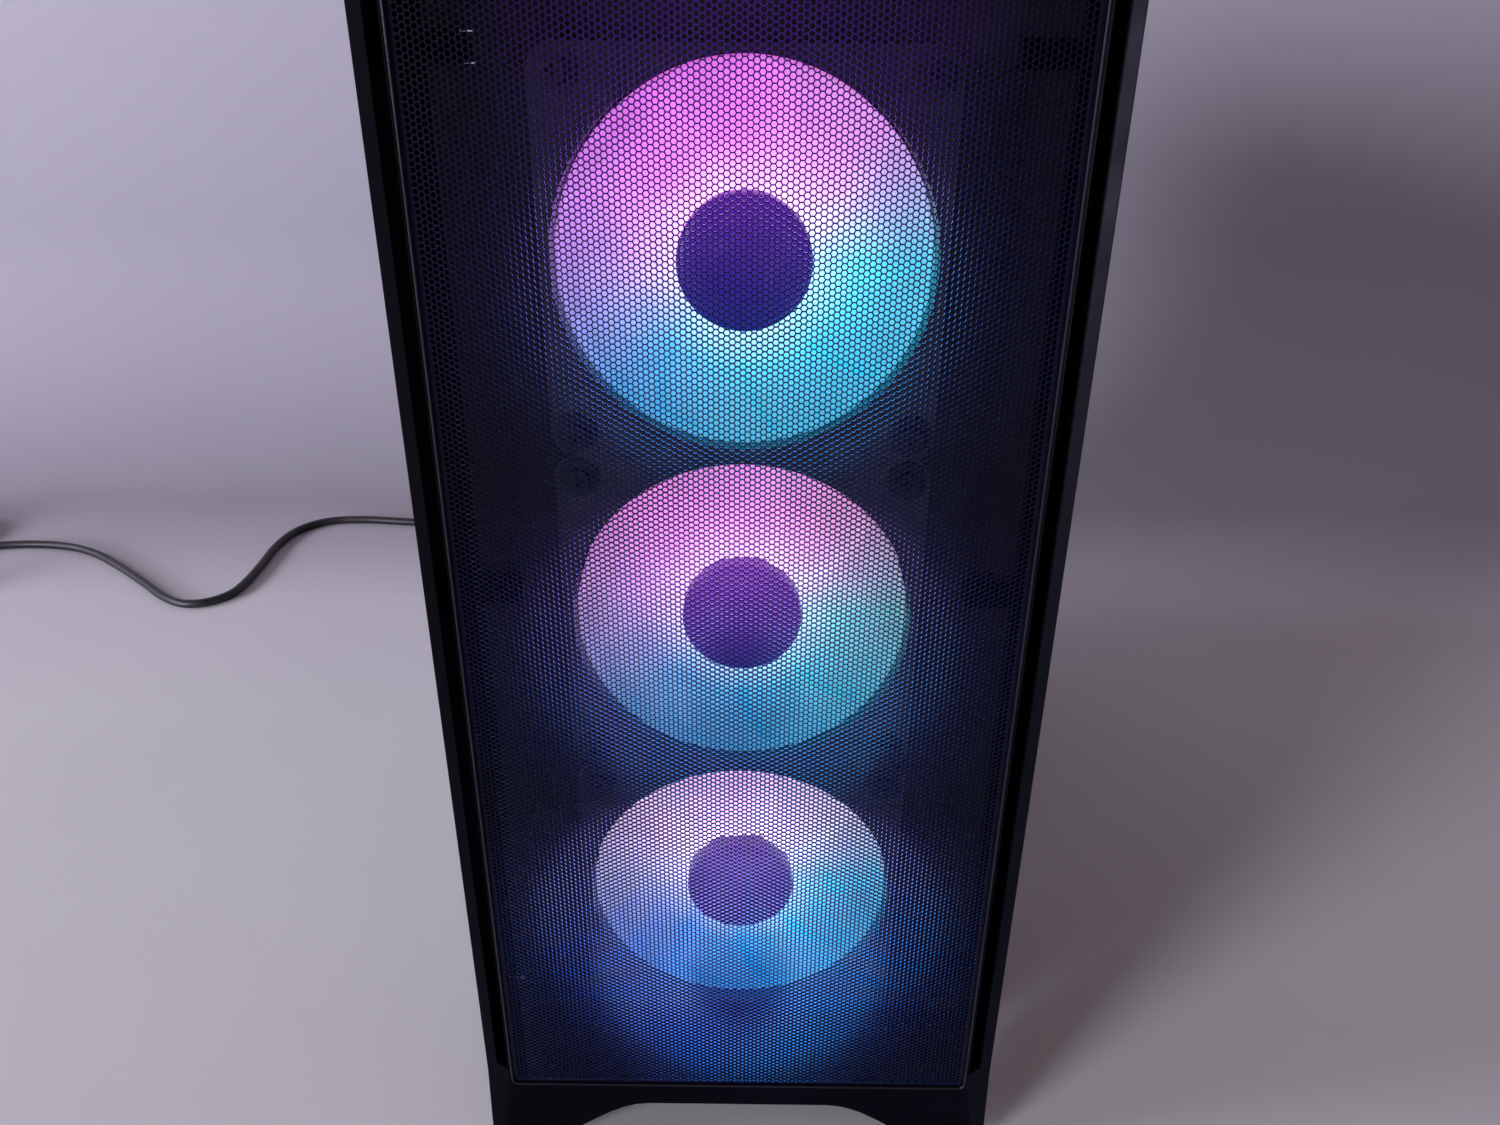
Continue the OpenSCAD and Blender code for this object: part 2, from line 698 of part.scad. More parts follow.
// hollow end tank between two heights
module tank(z) {
    r = 5;
    wall = 2;
    translate([0, (rad_y[0] + rad_y[1]) / 2, z[0]]) difference() {
        linear_extrude(z[1] - z[0]) soft_rect(fan_size, rad_t, r);
        translate([0, 0, wall]) linear_extrude(z[1] - z[0] - 2 * wall)
            soft_rect(fan_size - 2 * wall, rad_t - 2 * wall, r - wall);
    }
}

module radiator_tank_top() {
    color("#1c1c20") difference() {
        tank([core_z[1], rad_z[1]]);
        for (p = radiator_ports) rod_y(3, rad_y[1] - 4, rad_y[1] + 1, p[0], p[2]);
    }
}

module radiator_tank_bottom() {
    color("#1c1c20") tank([rad_z[0], core_z[0]]);
}

module radiator_rails() {
    half = fan_size / 2;
    color("#1c1c20") for (s = [0, 1]) mirror([s, 0, 0]) difference() {
        span([rail_in, half], rad_y, core_z);
        span([rail_in + 1, half - 1], rad_y + [1, -1], [core_z[0] - 1, core_z[1] + 1]);
        for (z = fan_z, k = [-1, 1]) {
            rod_y(1.8, rad_y[0] - 1, rad_y[1] + 1, fan_holes / 2, z + k * fan_holes / 2);
        }
    }
}

pump_x = [board_x - 52.4, board_x - 12.4];     // front and back of the pump housing
pump_r = 33;
port_x = pump_x[0] + 10;
pump_front = cpu[1] - pump_r;
radiator_ports = [[16, rad_y[1], 430], [-16, rad_y[1], 430]];
pump_ports = [[port_x, pump_front, cpu[2] + 12], [port_x, pump_front, cpu[2] - 12]];

module hose_fittings() {
    color("#9a9ca2") {
        for (p = radiator_ports) {
            rod_y(9, p[1], p[1] + 6, p[0], p[2], 6);
            rod_y(7.6, p[1] + 6, p[1] + 24, p[0], p[2]);
        }
        for (p = pump_ports) {
            rod_y(8.4, p[1] - 4, p[1], p[0], p[2], 6);
            rod_y(7.6, p[1] - 16, p[1] - 4, p[0], p[2]);
        }
    }
}

module coolant_hoses() {
    pull = 75;
    color("#17171a") for (k = [0, 1]) {
        a = pump_ports[k] - [0, 16.2, 0];
        b = radiator_ports[k] + [0, 24.2, 0];
        sweep(bezier(a, a - [0, pull, 0], b + [0, pull, 0], b, 26), hose_r, 12);
    }
}

module pump_housing() {
    color("#141418") {
        difference() {
            union() {
                rod_x(pump_r, pump_x[0], pump_x[1], cpu[1], cpu[2]);
                span([port_x - 9, port_x + 9], [pump_front, cpu[1]], about(cpu[2], 22));
            }
            rod_x(24, pump_x[0] + 22, pump_x[1] + 1, cpu[1], cpu[2]);
            for (p = pump_ports) rod_y(3, p[1] - 1, p[1] + 8, p[0], p[2]);
        }
        rod_x(1, pump_x[0] + 20, pump_x[1] - 4, cpu[1], cpu[2]);
    }
}

module pump_cold_plate() {
    color("#b87348") {
        span([pump_x[1], pump_x[1] + 1.6], about(cpu[1], 28), about(cpu[2], 28));
        span([pump_x[1] + 1.6, pump_x[1] + 4.4], about(cpu[1], 22), about(cpu[2], 22));
    }
}

module pump_impeller() {
    color("#d8d8dc") difference() {
        union() {
            rod_x(13, pump_x[0] + 24, pump_x[0] + 27, cpu[1], cpu[2]);
            rod_x(4, pump_x[0] + 24, pump_x[0] + 34, cpu[1], cpu[2]);
            for (a = [0:60:300]) {
                translate([pump_x[0] + 27, cpu[1], cpu[2]]) rotate([a, 0, 0])
                    translate([0, 3, -0.6]) cube([6, 9.5, 1.2]);
            }
        }
        rod_x(1.05, pump_x[0] + 20, pump_x[1], cpu[1], cpu[2]);
    }
}

module pump_cap() {
    color("#26262c") difference() {
        rod_x(pump_r, pump_x[0] - 3, pump_x[0], cpu[1], cpu[2]);
        difference() {
            rod_x(28, pump_x[0] - 4, pump_x[0] - 2, cpu[1], cpu[2]);
            rod_x(26.5, pump_x[0] - 5, pump_x[0], cpu[1], cpu[2]);
        }
    }
}

module pump_bracket() {
    x0 = pump_x[1] - 8;
    color("#8e9096") {
        difference() {
            union() {
                rod_x(38, x0, x0 + 2, cpu[1], cpu[2]);
                for (a = [45, 135]) {
                    translate([x0, cpu[1], cpu[2]]) rotate([a, 0, 0]) span([0, 2], [-57, 57], [-6, 6]);
                }
            }
            rod_x(pump_r + 0.15, x0 - 1, x0 + 3, cpu[1], cpu[2]);
        }
        for (y = [-1, 1], z = [-1, 1]) rod_x(3, x0 + 2, board_x, cpu[1] + y * 37.5, cpu[2] + z * 37.5);
    }
}

// ---- board and power supply ----

module motherboard() {
    y = [-39, 203.5];
    z = [135, 440];
    socket_t = 8;
    color("#15202a") {
        span([board_x, board_x + 1.6], y, z);
        span([board_x - socket_t, board_x], about(cpu[1], 20), about(cpu[2], 22));
        for (k = [0:3]) span([board_x - 8, board_x], [20.5, 27.5] + 9.5 * k * [1, 1], [288, 424]);
        for (k = [0:2]) span([board_x - 11, board_x], [60, 150], [251, 258] - 40.64 * k * [1, 1]);
        span([board_x - 11, board_x], [-36, -27], [250, 302]);
        span([board_x - 9, board_x], [-22, 24], [165, 212]);
        for (k = [0:8]) span([board_x - 26 + 3 * (k % 2), board_x], [76 + 7 * k, 80 + 7 * k], [398, 424]);
        span([board_x - 18, board_x], [76, 136], [396, 398]);
        for (p = io_blocks) span([p[0] - 13, board_x], [176, y[1]], [p[1] - 7, p[1] + 7]);
    }
}

module memory_modules() {
    color("#2a2a30") for (k = [1, 3]) {
        y = 24 + 9.5 * k;
        span([board_x - 27.4, board_x - 8], about(y, 2.6), [289.5, 422.5]);
        for (i = [0:6]) {
            span([board_x - 31.4, board_x - 27.4], about(y, 2.6), [292, 306] + 18.8 * i * [1, 1]);
        }
    }
}

module psu_housing() {
    wall = 1;
    y1 = psu_y[1];
    color("#1d1d22") {
        difference() {
            span([-psu_x, psu_x], psu_y, psu_z);
            span([-psu_x + wall, psu_x - wall], psu_y + wall * [1, -1], psu_z + wall * [1, -1]);
            translate([0, psu_fan_y, psu_z[0] - 1]) cylinder(r = duct_r, h = 3);
            span(about(inlet[0], 14), [y1 - 2, y1 + 1], about(inlet[1], 10.5));
            span(about(rocker[0], 5.8), [y1 - 2, y1 + 1], about(rocker[1], 8.6));
            for (i = [0:13], k = [0:4]) rod_y(2.8, y1 - 2, y1 + 1, -58.5 + 9 * i, 42 + 7 * k, 6);
        }
        // guard rings, spokes and hub plate of its fan
        translate([0, psu_fan_y, psu_z[0]]) {
            for (r = [28, 38, 48]) difference() {
                cylinder(r = r + 1, h = 2);
                translate([0, 0, -1]) cylinder(r = r - 1, h = 4);
            }
            for (a = [0:45:315]) rotate(a) translate([16, -1.5, 0.2]) cube([duct_r - 15, 3, 1.6]);
            cylinder(r = 18, h = 2);
            cylinder(r = 2, h = 16, $fn = 48);
        }
        // bearing walls beside the rocker switch
        for (s = [-1, 1]) difference() {
            span(about(rocker[0] + s * 7, 1), [y1 - 9, y1 - wall / 2], about(rocker[1], 8));
            rod_x(1.25, rocker[0] - 9, rocker[0] + 9, y1 - 4, rocker[1], 48);
        }
    }
}

module psu_fan_rotor() {
    color("#26262c") translate([0, psu_fan_y, psu_z[0] + 4]) difference() {
        union() {
            cylinder(r = 20, h = 18);
            intersection() {
                for (k = [0:8]) {
                    rotate(40 * k) translate([37, 0, 9])
                        rotate([40, 0, 0]) cube([40, 20, 1.6], center = true);
                }
                cylinder(r = 56, h = 18, $fn = 96);
            }
        }
        translate([0, 0, -1]) cylinder(r = 2.05, h = 14, $fn = 48);
    }
}

module psu_inlet() {
    y1 = psu_y[1];
    color("#0e0e10") difference() {
        union() {
            span(about(inlet[0], 13.5), [y1 - 18, y1], about(inlet[1], 10));
            span(about(inlet[0], 16), [y1, y1 + 2], about(inlet[1], 12.5));
        }
        difference() {
            span(about(inlet[0], 12), [y1 - 16, y1 + 3], about(inlet[1], 8.2));
            for (p = inlet_pins) {
                span(about(inlet[0] + p[0], 1), [y1 - 17, y1 - 1], about(inlet[1] + p[1], 2));
            }
        }
    }
}

module psu_switch() {
    y = psu_y[1] - 4;
    tilt = 8;
    color("#0e0e10") translate([rocker[0], y, rocker[1]]) rotate([-tilt, 0, 0]) {
        translate([-5.3, 0, 0]) rotate([90, 0, 90]) linear_extrude(10.6)
            polygon([[-2.5, -3], [-2.5, 3], [2, 7.2], [5.2, 7.2], [4.2, 0], [5.2, -7.2], [2, -7.2]]);
        rod_x(1.2, -7.4, 7.4, 0, 0, 48);
    }
}

// ---- mains lead ----

module lead_connector() {
    y0 = psu_y[1] + 2;
    body = 38;
    color("#0a0a0c") {
        difference() {
            span(about(inlet[0], 11.7), [y0 - 14, y0], about(inlet[1], 7.9));
            for (p = inlet_pins) {
                span(about(inlet[0] + p[0], 1.3), [y0 - 15, y0 - 1], about(inlet[1] + p[1], 2.3));
            }
        }
        translate([inlet[0], y0, inlet[1]]) rotate([-90, 0, 0]) linear_extrude(body) soft_rect(27, 20, 4);
        translate([inlet[0], y0 + body, inlet[1]]) rotate([-90, 0, 0])
            cylinder(r1 = 8, r2 = lead_z + 0.6, h = lead_exit[1] - y0 - body);
    }
}

// keeps a lead's points on or above the surface it lies on
function on_floor(p) = [for (q = p) [q[0], q[1], max(q[2], lead_z)]];

module lead_tube() {
    color("#0a0a0c") sweep(on_floor(smooth(lead_route, 2)), lead_z, 8);
}

module lead_coil() {
    color("#0a0a0c") translate([coil_at[0], coil_at[1], 0]) rotate_extrude($fn = 96)
        translate([coil_r - lead_z, 0]) square([lead_d, 2 * lead_d]);
}

module lead_tail() {
    color("#0a0a0c") sweep(on_floor(smooth(tail_route, 2)), lead_z, 8);
}

module lead_plug() {
    end = tail_route[len(tail_route) - 1];
    r = 18.4;
    color("#0a0a0c") translate(end) rotate([90, 0, 0]) {
        cylinder(r1 = lead_z + 0.6, r2 = 8, h = 20);
        difference() {
            translate([0, 0, 20]) cylinder(r = r, h = 30);
            translate([0, 0, 48]) cylinder(r = 1.9, h = 4);
        }
        for (x = [-9.5, 9.5]) translate([x, 0, 50]) cylinder(r = 2.4, h = 19);
    }
}

chassis_bottom();
chassis_front();
chassis_rear();
chassis_top();
motherboard_tray();
psu_shroud();
slot_covers();
connector_shield();
drive_cage();
feet();
foot_pads();
front_panel_frame();
front_mesh();
top_strip();
strip_board();
power_button();
reset_button();
usb_sockets();
glass_panel();
glass_thumbscrews();
steel_panel();
rear_thumbscrews();
top_filter();
psu_filter();
fan_frame(0);  // fan_frame_1
fan_frame(1);  // fan_frame_2
fan_frame(2);  // fan_frame_3
fan_rotor(0);  // fan_rotor_1
fan_rotor(1);  // fan_rotor_2
fan_rotor(2);  // fan_rotor_3
fan_shaft(0);  // fan_shaft_1
fan_shaft(1);  // fan_shaft_2
fan_shaft(2);  // fan_shaft_3
fan_stators();
fan_bearings();
fan_light_boards();
fan_pads();
fan_screws();
radiator_core();
radiator_tank_top();
radiator_tank_bottom();
radiator_rails();
hose_fittings();
coolant_hoses();
pump_housing();
pump_cold_plate();
pump_impeller();
pump_cap();
pump_bracket();
motherboard();
memory_modules();
psu_housing();
psu_fan_rotor();
psu_inlet();
psu_switch();
lead_connector();
lead_tube();
lead_coil();
lead_tail();
lead_plug();
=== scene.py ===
"""A computer tower on a pale floor: three lit fans glow through its perforated front."""
import json
import math

import bmesh
import bpy
from mathutils import Matrix, Vector


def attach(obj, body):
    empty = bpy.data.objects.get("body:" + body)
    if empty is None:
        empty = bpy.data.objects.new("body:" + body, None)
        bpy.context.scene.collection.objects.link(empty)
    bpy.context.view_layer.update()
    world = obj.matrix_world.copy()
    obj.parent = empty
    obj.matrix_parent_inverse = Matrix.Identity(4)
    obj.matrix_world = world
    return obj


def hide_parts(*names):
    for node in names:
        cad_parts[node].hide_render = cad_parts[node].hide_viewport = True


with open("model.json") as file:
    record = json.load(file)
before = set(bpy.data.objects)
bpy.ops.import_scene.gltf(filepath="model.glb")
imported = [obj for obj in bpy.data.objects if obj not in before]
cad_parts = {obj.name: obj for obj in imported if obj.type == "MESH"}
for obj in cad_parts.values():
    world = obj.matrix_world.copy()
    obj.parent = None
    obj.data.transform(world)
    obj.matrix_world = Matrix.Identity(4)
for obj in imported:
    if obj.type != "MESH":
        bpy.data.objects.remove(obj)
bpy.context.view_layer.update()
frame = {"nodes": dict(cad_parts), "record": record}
NODES = frame["nodes"]
RECORD = frame["record"]


MM = 0.001


def mm(*values):
    """A point or a size given in millimetres, in metres."""
    return Vector(values) * MM


# ---------- the tower's main dimensions, in millimetres ----------

FRONT_Y = -215
SHEET_X, SHEET_Z = (-91.2, 91.2), (36.6, 445.9)
SHEET_Y = (-214.3, -213.7)
FAN_Z = (121, 241, 361)
FAN_BACK_Y = -170
HUB_R = 20.5
BOARD_X = 74.4
CPU = (BOARD_X, 105, 350)
PUMP_X = (22, 62)
LEAD_R = 3.25

# ---------- camera ----------

LENS_MM, SENSOR_MM = 27.18, 36.0
CAMERA_AT = mm(3.3, -532, 431.15)
CAMERA_PITCH, CAMERA_YAW, CAMERA_ROLL = math.radians(26.43), -0.0022, 0.0102


def make_camera():
    """A camera in front of the tower's top edge that looks down at it."""
    level = Vector((math.cos(CAMERA_YAW), -math.sin(CAMERA_YAW), 0))
    ahead = Vector((
        math.sin(CAMERA_YAW) * math.cos(CAMERA_PITCH),
        math.cos(CAMERA_YAW) * math.cos(CAMERA_PITCH),
        -math.sin(CAMERA_PITCH),
    ))
    upright = level.cross(ahead)
    right = level * math.cos(CAMERA_ROLL) + upright * math.sin(CAMERA_ROLL)
    up = -level * math.sin(CAMERA_ROLL) + upright * math.cos(CAMERA_ROLL)
    data = bpy.data.cameras.new("camera")
    data.lens, data.sensor_width = LENS_MM, SENSOR_MM
    data.clip_start, data.clip_end = 0.01, 50
    camera = bpy.data.objects.new("camera", data)
    axes = Matrix((right, up, -ahead)).transposed().to_4x4()
    camera.matrix_world = Matrix.Translation(CAMERA_AT) @ axes
    bpy.context.scene.collection.objects.link(camera)
    bpy.context.scene.camera = camera


make_camera()

# ---------- materials ----------


class Shader:
    """A material's node tree with one Principled shader, and short ways to add nodes."""

    def __init__(self, name):
        self.material = bpy.data.materials.new(name)
        self.material.use_nodes = True
        self.tree = self.material.node_tree
        self.bsdf = self.tree.nodes["Principled BSDF"]
        self.place = self.node("ShaderNodeTexCoord").outputs["Object"]

    def node(self, kind, inputs=None, **settings):
        """Adds a node; inputs maps a socket's name or number to a value or to another node's output."""
        made = self.tree.nodes.new(kind)
        for key, value in settings.items():
            setattr(made, key, value)
        for key, value in (inputs or {}).items():
            self.put(made.inputs[key], value)
        return made

    def put(self, socket, value):
        if isinstance(value, bpy.types.NodeSocket):
            self.tree.links.new(value, socket)
        else:
            socket.default_value = value

    def set(self, **sockets):
        """Sets the shader's own sockets; an underscore in a name stands for a space."""
        for key, value in sockets.items():
            self.put(self.bsdf.inputs[key.replace("_", " ")], value)

    def noise(self, scale, detail=3.0, place=None):
        inputs = {"Vector": place or self.place, "Scale": scale, "Detail": detail}
        return self.node("ShaderNodeTexNoise", inputs).outputs["Fac"]

    def spread(self, value, low, high, start=0.3, end=0.7):
        """Maps a value from start..end to low..high."""
        inputs = {"Value": value, "From Min": start, "From Max": end, "To Min": low, "To Max": high}
        return self.node("ShaderNodeMapRange", inputs).outputs["Result"]

    def maths(self, operation, a, b=0.0):
        return self.node("ShaderNodeMath", {0: a, 1: b}, operation=operation).outputs[0]

    def mix(self, share, a, b, blend="MIX"):
        made = self.node("ShaderNodeMix", data_type="RGBA", blend_type=blend)
        for socket, value in ((made.inputs[0], share), (made.inputs[6], a), (made.inputs[7], b)):
            self.put(socket, value)
        return made.outputs[2]

    def grey(self, value):
        """A colour with one value in all its channels."""
        return self.node("ShaderNodeCombineColor", {0: value, 1: value, 2: value}).outputs[0]

    def ramp(self, value, stops):
        """A colour ramp through (place, colour) stops."""
        made = self.node("ShaderNodeValToRGB", {"Fac": value})
        bars = made.color_ramp.elements
        while len(bars) < len(stops):
            bars.new(0.5)
        for bar, (place, colour) in zip(bars, stops):
            bar.position = place
            bar.color = rgba(colour)
        return made.outputs["Color"]

    def bump(self, height, distance, normal=None):
        inputs = {"Height": height, "Distance": distance}
        if normal:
            inputs["Normal"] = normal
        return self.node("ShaderNodeBump", inputs).outputs["Normal"]


def rgba(colour):
    return (*colour[:3], 1.0)


def shade(colour, factor):
    return tuple(c * factor for c in colour[:3])


def surface(
    name, colour, rough, metal=0.0, grain=0.0005, relief=0.00002, mottle=0.2, worn=0.0, soft=0.0006,
    **sockets,
):
    """A solid finish: fine grain, slow mottling in its colour, and soft edges that may be worn bright."""
    s = Shader(name)
    cloud = s.noise(22.0, 5.0)
    dark, light = rgba(shade(colour, 1 - mottle)), rgba(shade(colour, 1 + mottle))
    base = s.mix(s.spread(cloud, 0.0, 1.0), dark, light)
    rounded = s.node("ShaderNodeBevel", {"Radius": soft}, samples=4).outputs["Normal"]
    if worn:
        true_normal = s.node("ShaderNodeNewGeometry").outputs["Normal"]
        turned = s.node("ShaderNodeVectorMath", {0: rounded, 1: true_normal}, operation="DOT_PRODUCT")
        edge = s.spread(turned.outputs["Value"], worn, 0.0, 0.80, 0.995)
        rubbed = s.maths("MULTIPLY", edge, s.spread(s.noise(300.0), 0.2, 1.0))
        base = s.mix(rubbed, base, rgba([min(1.0, c * 3 + 0.05) for c in colour[:3]]))
    smudge = s.noise(60.0, 6.0)
    s.set(
        Base_Color=base,
        Metallic=metal,
        Roughness=s.spread(smudge, max(0.02, rough - 0.07), rough + 0.07),
        Normal=s.bump(s.noise(1 / grain, 2.0), relief, rounded),
        **sockets,
    )
    return s.material


def brushed(name, colour, rough, along, metal=1.0, **sockets):
    """Metal with fine scratches that run along one axis."""
    s = Shader(name)
    stretch = [2600.0, 2600.0, 2600.0]
    stretch["XYZ".index(along)] = 60.0
    stretched = s.node("ShaderNodeMapping", {"Vector": s.place, "Scale": stretch}).outputs["Vector"]
    scratch = s.noise(1.0, 3.0, stretched)
    rounded = s.node("ShaderNodeBevel", {"Radius": 0.0005}, samples=4).outputs["Normal"]
    s.set(
        Base_Color=s.mix(scratch, rgba(shade(colour, 0.8)), rgba(shade(colour, 1.1))),
        Metallic=metal,
        Roughness=s.spread(scratch, rough - 0.06, rough + 0.1),
        Normal=s.bump(scratch, 0.00001, rounded),
        **sockets,
    )
    return s.material


def perforated_metal():
    """Black-coated sheet with bare, bright hole walls.

    The blue and purple glow is painted fan light, a faint glow of the sheet's own that is strongest on the
    hole walls, placed round the fans' centres and GLOW_TOP, so it stays on the sheet when the front panel
    comes off.
    """
    s = Shader("mesh_sheet")
    normal = s.node("ShaderNodeNewGeometry").outputs["True Normal"]
    across = s.node("ShaderNodeSeparateXYZ", {0: normal}).outputs["Y"]
    wall = s.maths("LESS_THAN", s.maths("ABSOLUTE", across), 0.5)
    axes = s.node("ShaderNodeSeparateXYZ", {0: s.place}).outputs
    # Painted fan light: a blue halo round each fan's centre that fades out between HALO_R, and a purple glow
    # over the highest fan; the hole walls glow more than the web between them.
    near = 1.0
    for z in FAN_Z:
        lift = s.maths("SUBTRACT", axes["Z"], z * MM)
        squares = s.maths("ADD", s.maths("MULTIPLY", lift, lift), s.maths("MULTIPLY", axes["X"], axes["X"]))
        near = s.maths("MINIMUM", near, s.maths("POWER", squares, 0.5))
    painted_fan_light = s.ramp(s.spread(near, 0.0, 1.0, *HALO_R), [
        (0.0, (0.009, 0.005, 0.075)), (0.25, (0.006, 0.004, 0.048)), (0.6, (0.0015, 0.001, 0.016)),
        (1.0, (0.0004, 0.0004, 0.004)),
    ])
    above = s.node("ShaderNodeVectorMath", {0: s.place, 1: GLOW_TOP}, operation="DISTANCE").outputs["Value"]
    purple = s.ramp(s.spread(above, 0.0, 1.0, 0.0, GLOW_TOP_R), [
        (0.0, (0.075, 0.010, 0.24)), (1.0, (0.0, 0.0, 0.0)),
    ])
    painted_fan_light = s.mix(1.0, painted_fan_light, purple, "ADD")
    share = s.spread(wall, 0.45, 1.3, 0.0, 1.0)
    painted_fan_light = s.mix(1.0, painted_fan_light, s.grey(share), "MULTIPLY")
    mottle = s.spread(s.noise(60.0, 5.0), 0.7, 1.3)
    coat = s.mix(mottle, (0.0008, 0.0008, 0.0025, 1), (0.0020, 0.0018, 0.005, 1))
    s.set(
        Base_Color=s.mix(wall, coat, (0.27, 0.46, 0.90, 1)),
        Metallic=wall,
        Roughness=s.spread(wall, 0.42, 0.30, 0.0, 1.0),
        Specular_IOR_Level=0.10,
        Emission_Color=painted_fan_light,
        Emission_Strength=WEB_GLOW,
        Normal=s.bump(s.noise(1700.0, 2.0), 0.000006),
    )
    return s.material


def smoked_glass():
    """Tinted tempered glass with faint smears."""
    s = Shader("smoked_glass")
    smear = s.noise(9.0, 6.0)
    s.set(
        Base_Color=s.mix(s.spread(smear, 0.0, 1.0), (0.66, 0.68, 0.74, 1), (0.74, 0.76, 0.82, 1)),
        Roughness=s.spread(smear, 0.0, 0.05),
        Transmission_Weight=1.0,
        IOR=1.5,
    )
    return s.material


def circuit_board():
    """Dark solder mask with copper tracks showing faintly through it."""
    s = Shader("circuit_board")
    turned = s.node("ShaderNodeMapping", {"Vector": s.place, "Rotation": (0, math.radians(90), 0)})
    tracks = s.node("ShaderNodeTexBrick", {
        "Vector": turned.outputs["Vector"], "Scale": 130.0, "Mortar Size": 0.035, "Brick Width": 0.9,
        "Row Height": 0.22, "Color1": (0, 0, 0, 1), "Color2": (0.1, 0.1, 0.1, 1), "Mortar": (1, 1, 1, 1),
    }).outputs["Color"]
    cells = s.node("ShaderNodeTexVoronoi", {"Vector": s.place, "Scale": 210.0}).outputs["Distance"]
    pads = s.spread(cells, 1.0, 0.0, 0.10, 0.16)
    base = s.mix(tracks, (0.008, 0.012, 0.014, 1), (0.02, 0.035, 0.038, 1))
    s.set(
        Base_Color=s.mix(pads, base, (0.25, 0.22, 0.16, 1)),
        Roughness=s.spread(s.noise(80.0), 0.32, 0.5),
        Normal=s.bump(tracks, 0.00003),
    )
    return s.material


def braided(name, colour):
    """A woven sleeve."""
    s = Shader(name)
    weave = s.node("ShaderNodeTexVoronoi", {"Vector": s.place, "Scale": 900.0}).outputs["Distance"]
    s.set(
        Base_Color=s.mix(weave, rgba(shade(colour, 0.6)), rgba(shade(colour, 1.6))),
        Roughness=s.spread(weave, 0.45, 0.75, 0.0, 0.6),
        Normal=s.bump(weave, 0.00025),
        Sheen_Weight=0.15,
    )
    return s.material


def jacket():
    """The lead's soft black jacket: satin, with faint drawing lines and dust."""
    s = Shader("lead_jacket")
    dust = s.noise(140.0, 6.0)
    s.set(
        Base_Color=s.mix(s.spread(dust, 0.0, 1.0), (0.008, 0.008, 0.010, 1), (0.022, 0.021, 0.024, 1)),
        Roughness=s.spread(s.noise(35.0), 0.38, 0.52),
        Normal=s.bump(s.noise(1500.0, 2.0), 0.00002),
    )
    return s.material


# Colours round each fan, clockwise from the top as seen from the front, an eighth of a turn apart
FAN_COLOURS = (
    ((1.00, 0.48, 0.90), (0.80, 0.62, 0.82), (0.05, 0.50, 0.66), (0.0, 0.46, 0.68),
     (0.0, 0.33, 0.66), (0.01, 0.21, 0.64), (0.42, 0.42, 0.60), (0.86, 0.55, 0.80)),
    ((0.92, 0.25, 0.76), (0.66, 0.28, 0.52), (0.11, 0.42, 0.36), (0.02, 0.38, 0.42),
     (0.012, 0.25, 0.40), (0.06, 0.26, 0.40), (0.40, 0.25, 0.46), (0.74, 0.22, 0.64)),
    ((0.80, 0.15, 0.80), (0.74, 0.27, 0.76), (0.06, 0.58, 0.74), (0.02, 0.46, 0.62),
     (0.045, 0.42, 0.54), (0.05, 0.34, 0.64), (0.48, 0.25, 0.72), (0.74, 0.16, 0.78)),
)
# Painted light on the dark hubs from the lit blades round them, at the top and at the bottom
HUB_PAINTED_LIGHT = (
    ((0.08, 0.002, 0.18), (0.0, 0.0, 0.03)),
    ((0.11, 0.006, 0.22), (0.0, 0.008, 0.09)),
    ((0.055, 0.006, 0.20), (0.001, 0.010, 0.13)),
)
GLOW = 2.1
# strength of the painted light on the hubs
HUB_GLOW = 1.5
# strength of the painted fan light on the front sheet
WEB_GLOW = 1.0
HALO_R = (0.050, 0.100)              # where the painted halo of fan light round a fan's centre starts to fade and where it ends
GLOW_TOP = mm(0, -214, 432)          # middle of the painted purple glow of fan light over the highest fan
GLOW_TOP_R = 0.075


def lit_blades(index):
    """Milky plastic lit from the hub, whose colour turns round the fan and fades outwards."""
    s = Shader(f"lit_blades_{index + 1}")
    hub_at = (0, 0, FAN_Z[index] * MM)
    centre = s.node("ShaderNodeVectorMath", {0: s.place, 1: hub_at}, operation="SUBTRACT")
    axes = s.node("ShaderNodeSeparateXYZ", {0: centre.outputs["Vector"]}).outputs
    turn = s.maths("ARCTAN2", axes["X"], axes["Z"])
    share = s.maths("FRACT", s.maths("ADD", s.maths("DIVIDE", turn, 2 * math.pi), 1.0))
    flat = s.node("ShaderNodeCombineXYZ", {0: axes["X"], 1: 0.0, 2: axes["Z"]}).outputs[0]
    radius = s.node("ShaderNodeVectorMath", {0: flat}, operation="LENGTH").outputs["Value"]
    eighths = [(k / 8, FAN_COLOURS[index][k % 8]) for k in range(9)]
    colour = s.ramp(share, eighths)
    hot = s.spread(radius, 0.5, 0.0, 0.021, 0.034)
    colour = s.mix(hot, colour, s.mix(0.5, colour, (1.0, 0.92, 1.0, 1)))
    fade = s.ramp(s.spread(radius, 0.0, 1.0, 0.0205, 0.0565), [
        (0.0, (1.1,) * 3), (0.12, (1.0,) * 3), (0.35, (0.88,) * 3), (0.65, (0.60,) * 3), (1.0, (0.42,) * 3),
    ])
    streaks = s.spread(s.noise(70.0, 4.0), 0.88, 1.1)
    light = s.mix(1.0, s.mix(1.0, colour, fade, "MULTIPLY"), s.grey(streaks), "MULTIPLY")
    s.set(
        Base_Color=s.mix(s.spread(s.noise(40.0), 0.0, 1.0), (0.20, 0.20, 0.26, 1), (0.28, 0.28, 0.34, 1)),
        Roughness=s.spread(s.noise(200.0), 0.3, 0.45),
        Emission_Color=light,
        Emission_Strength=GLOW,
        Normal=s.bump(s.noise(1200.0, 2.0), 0.00001),
    )
    return s.material


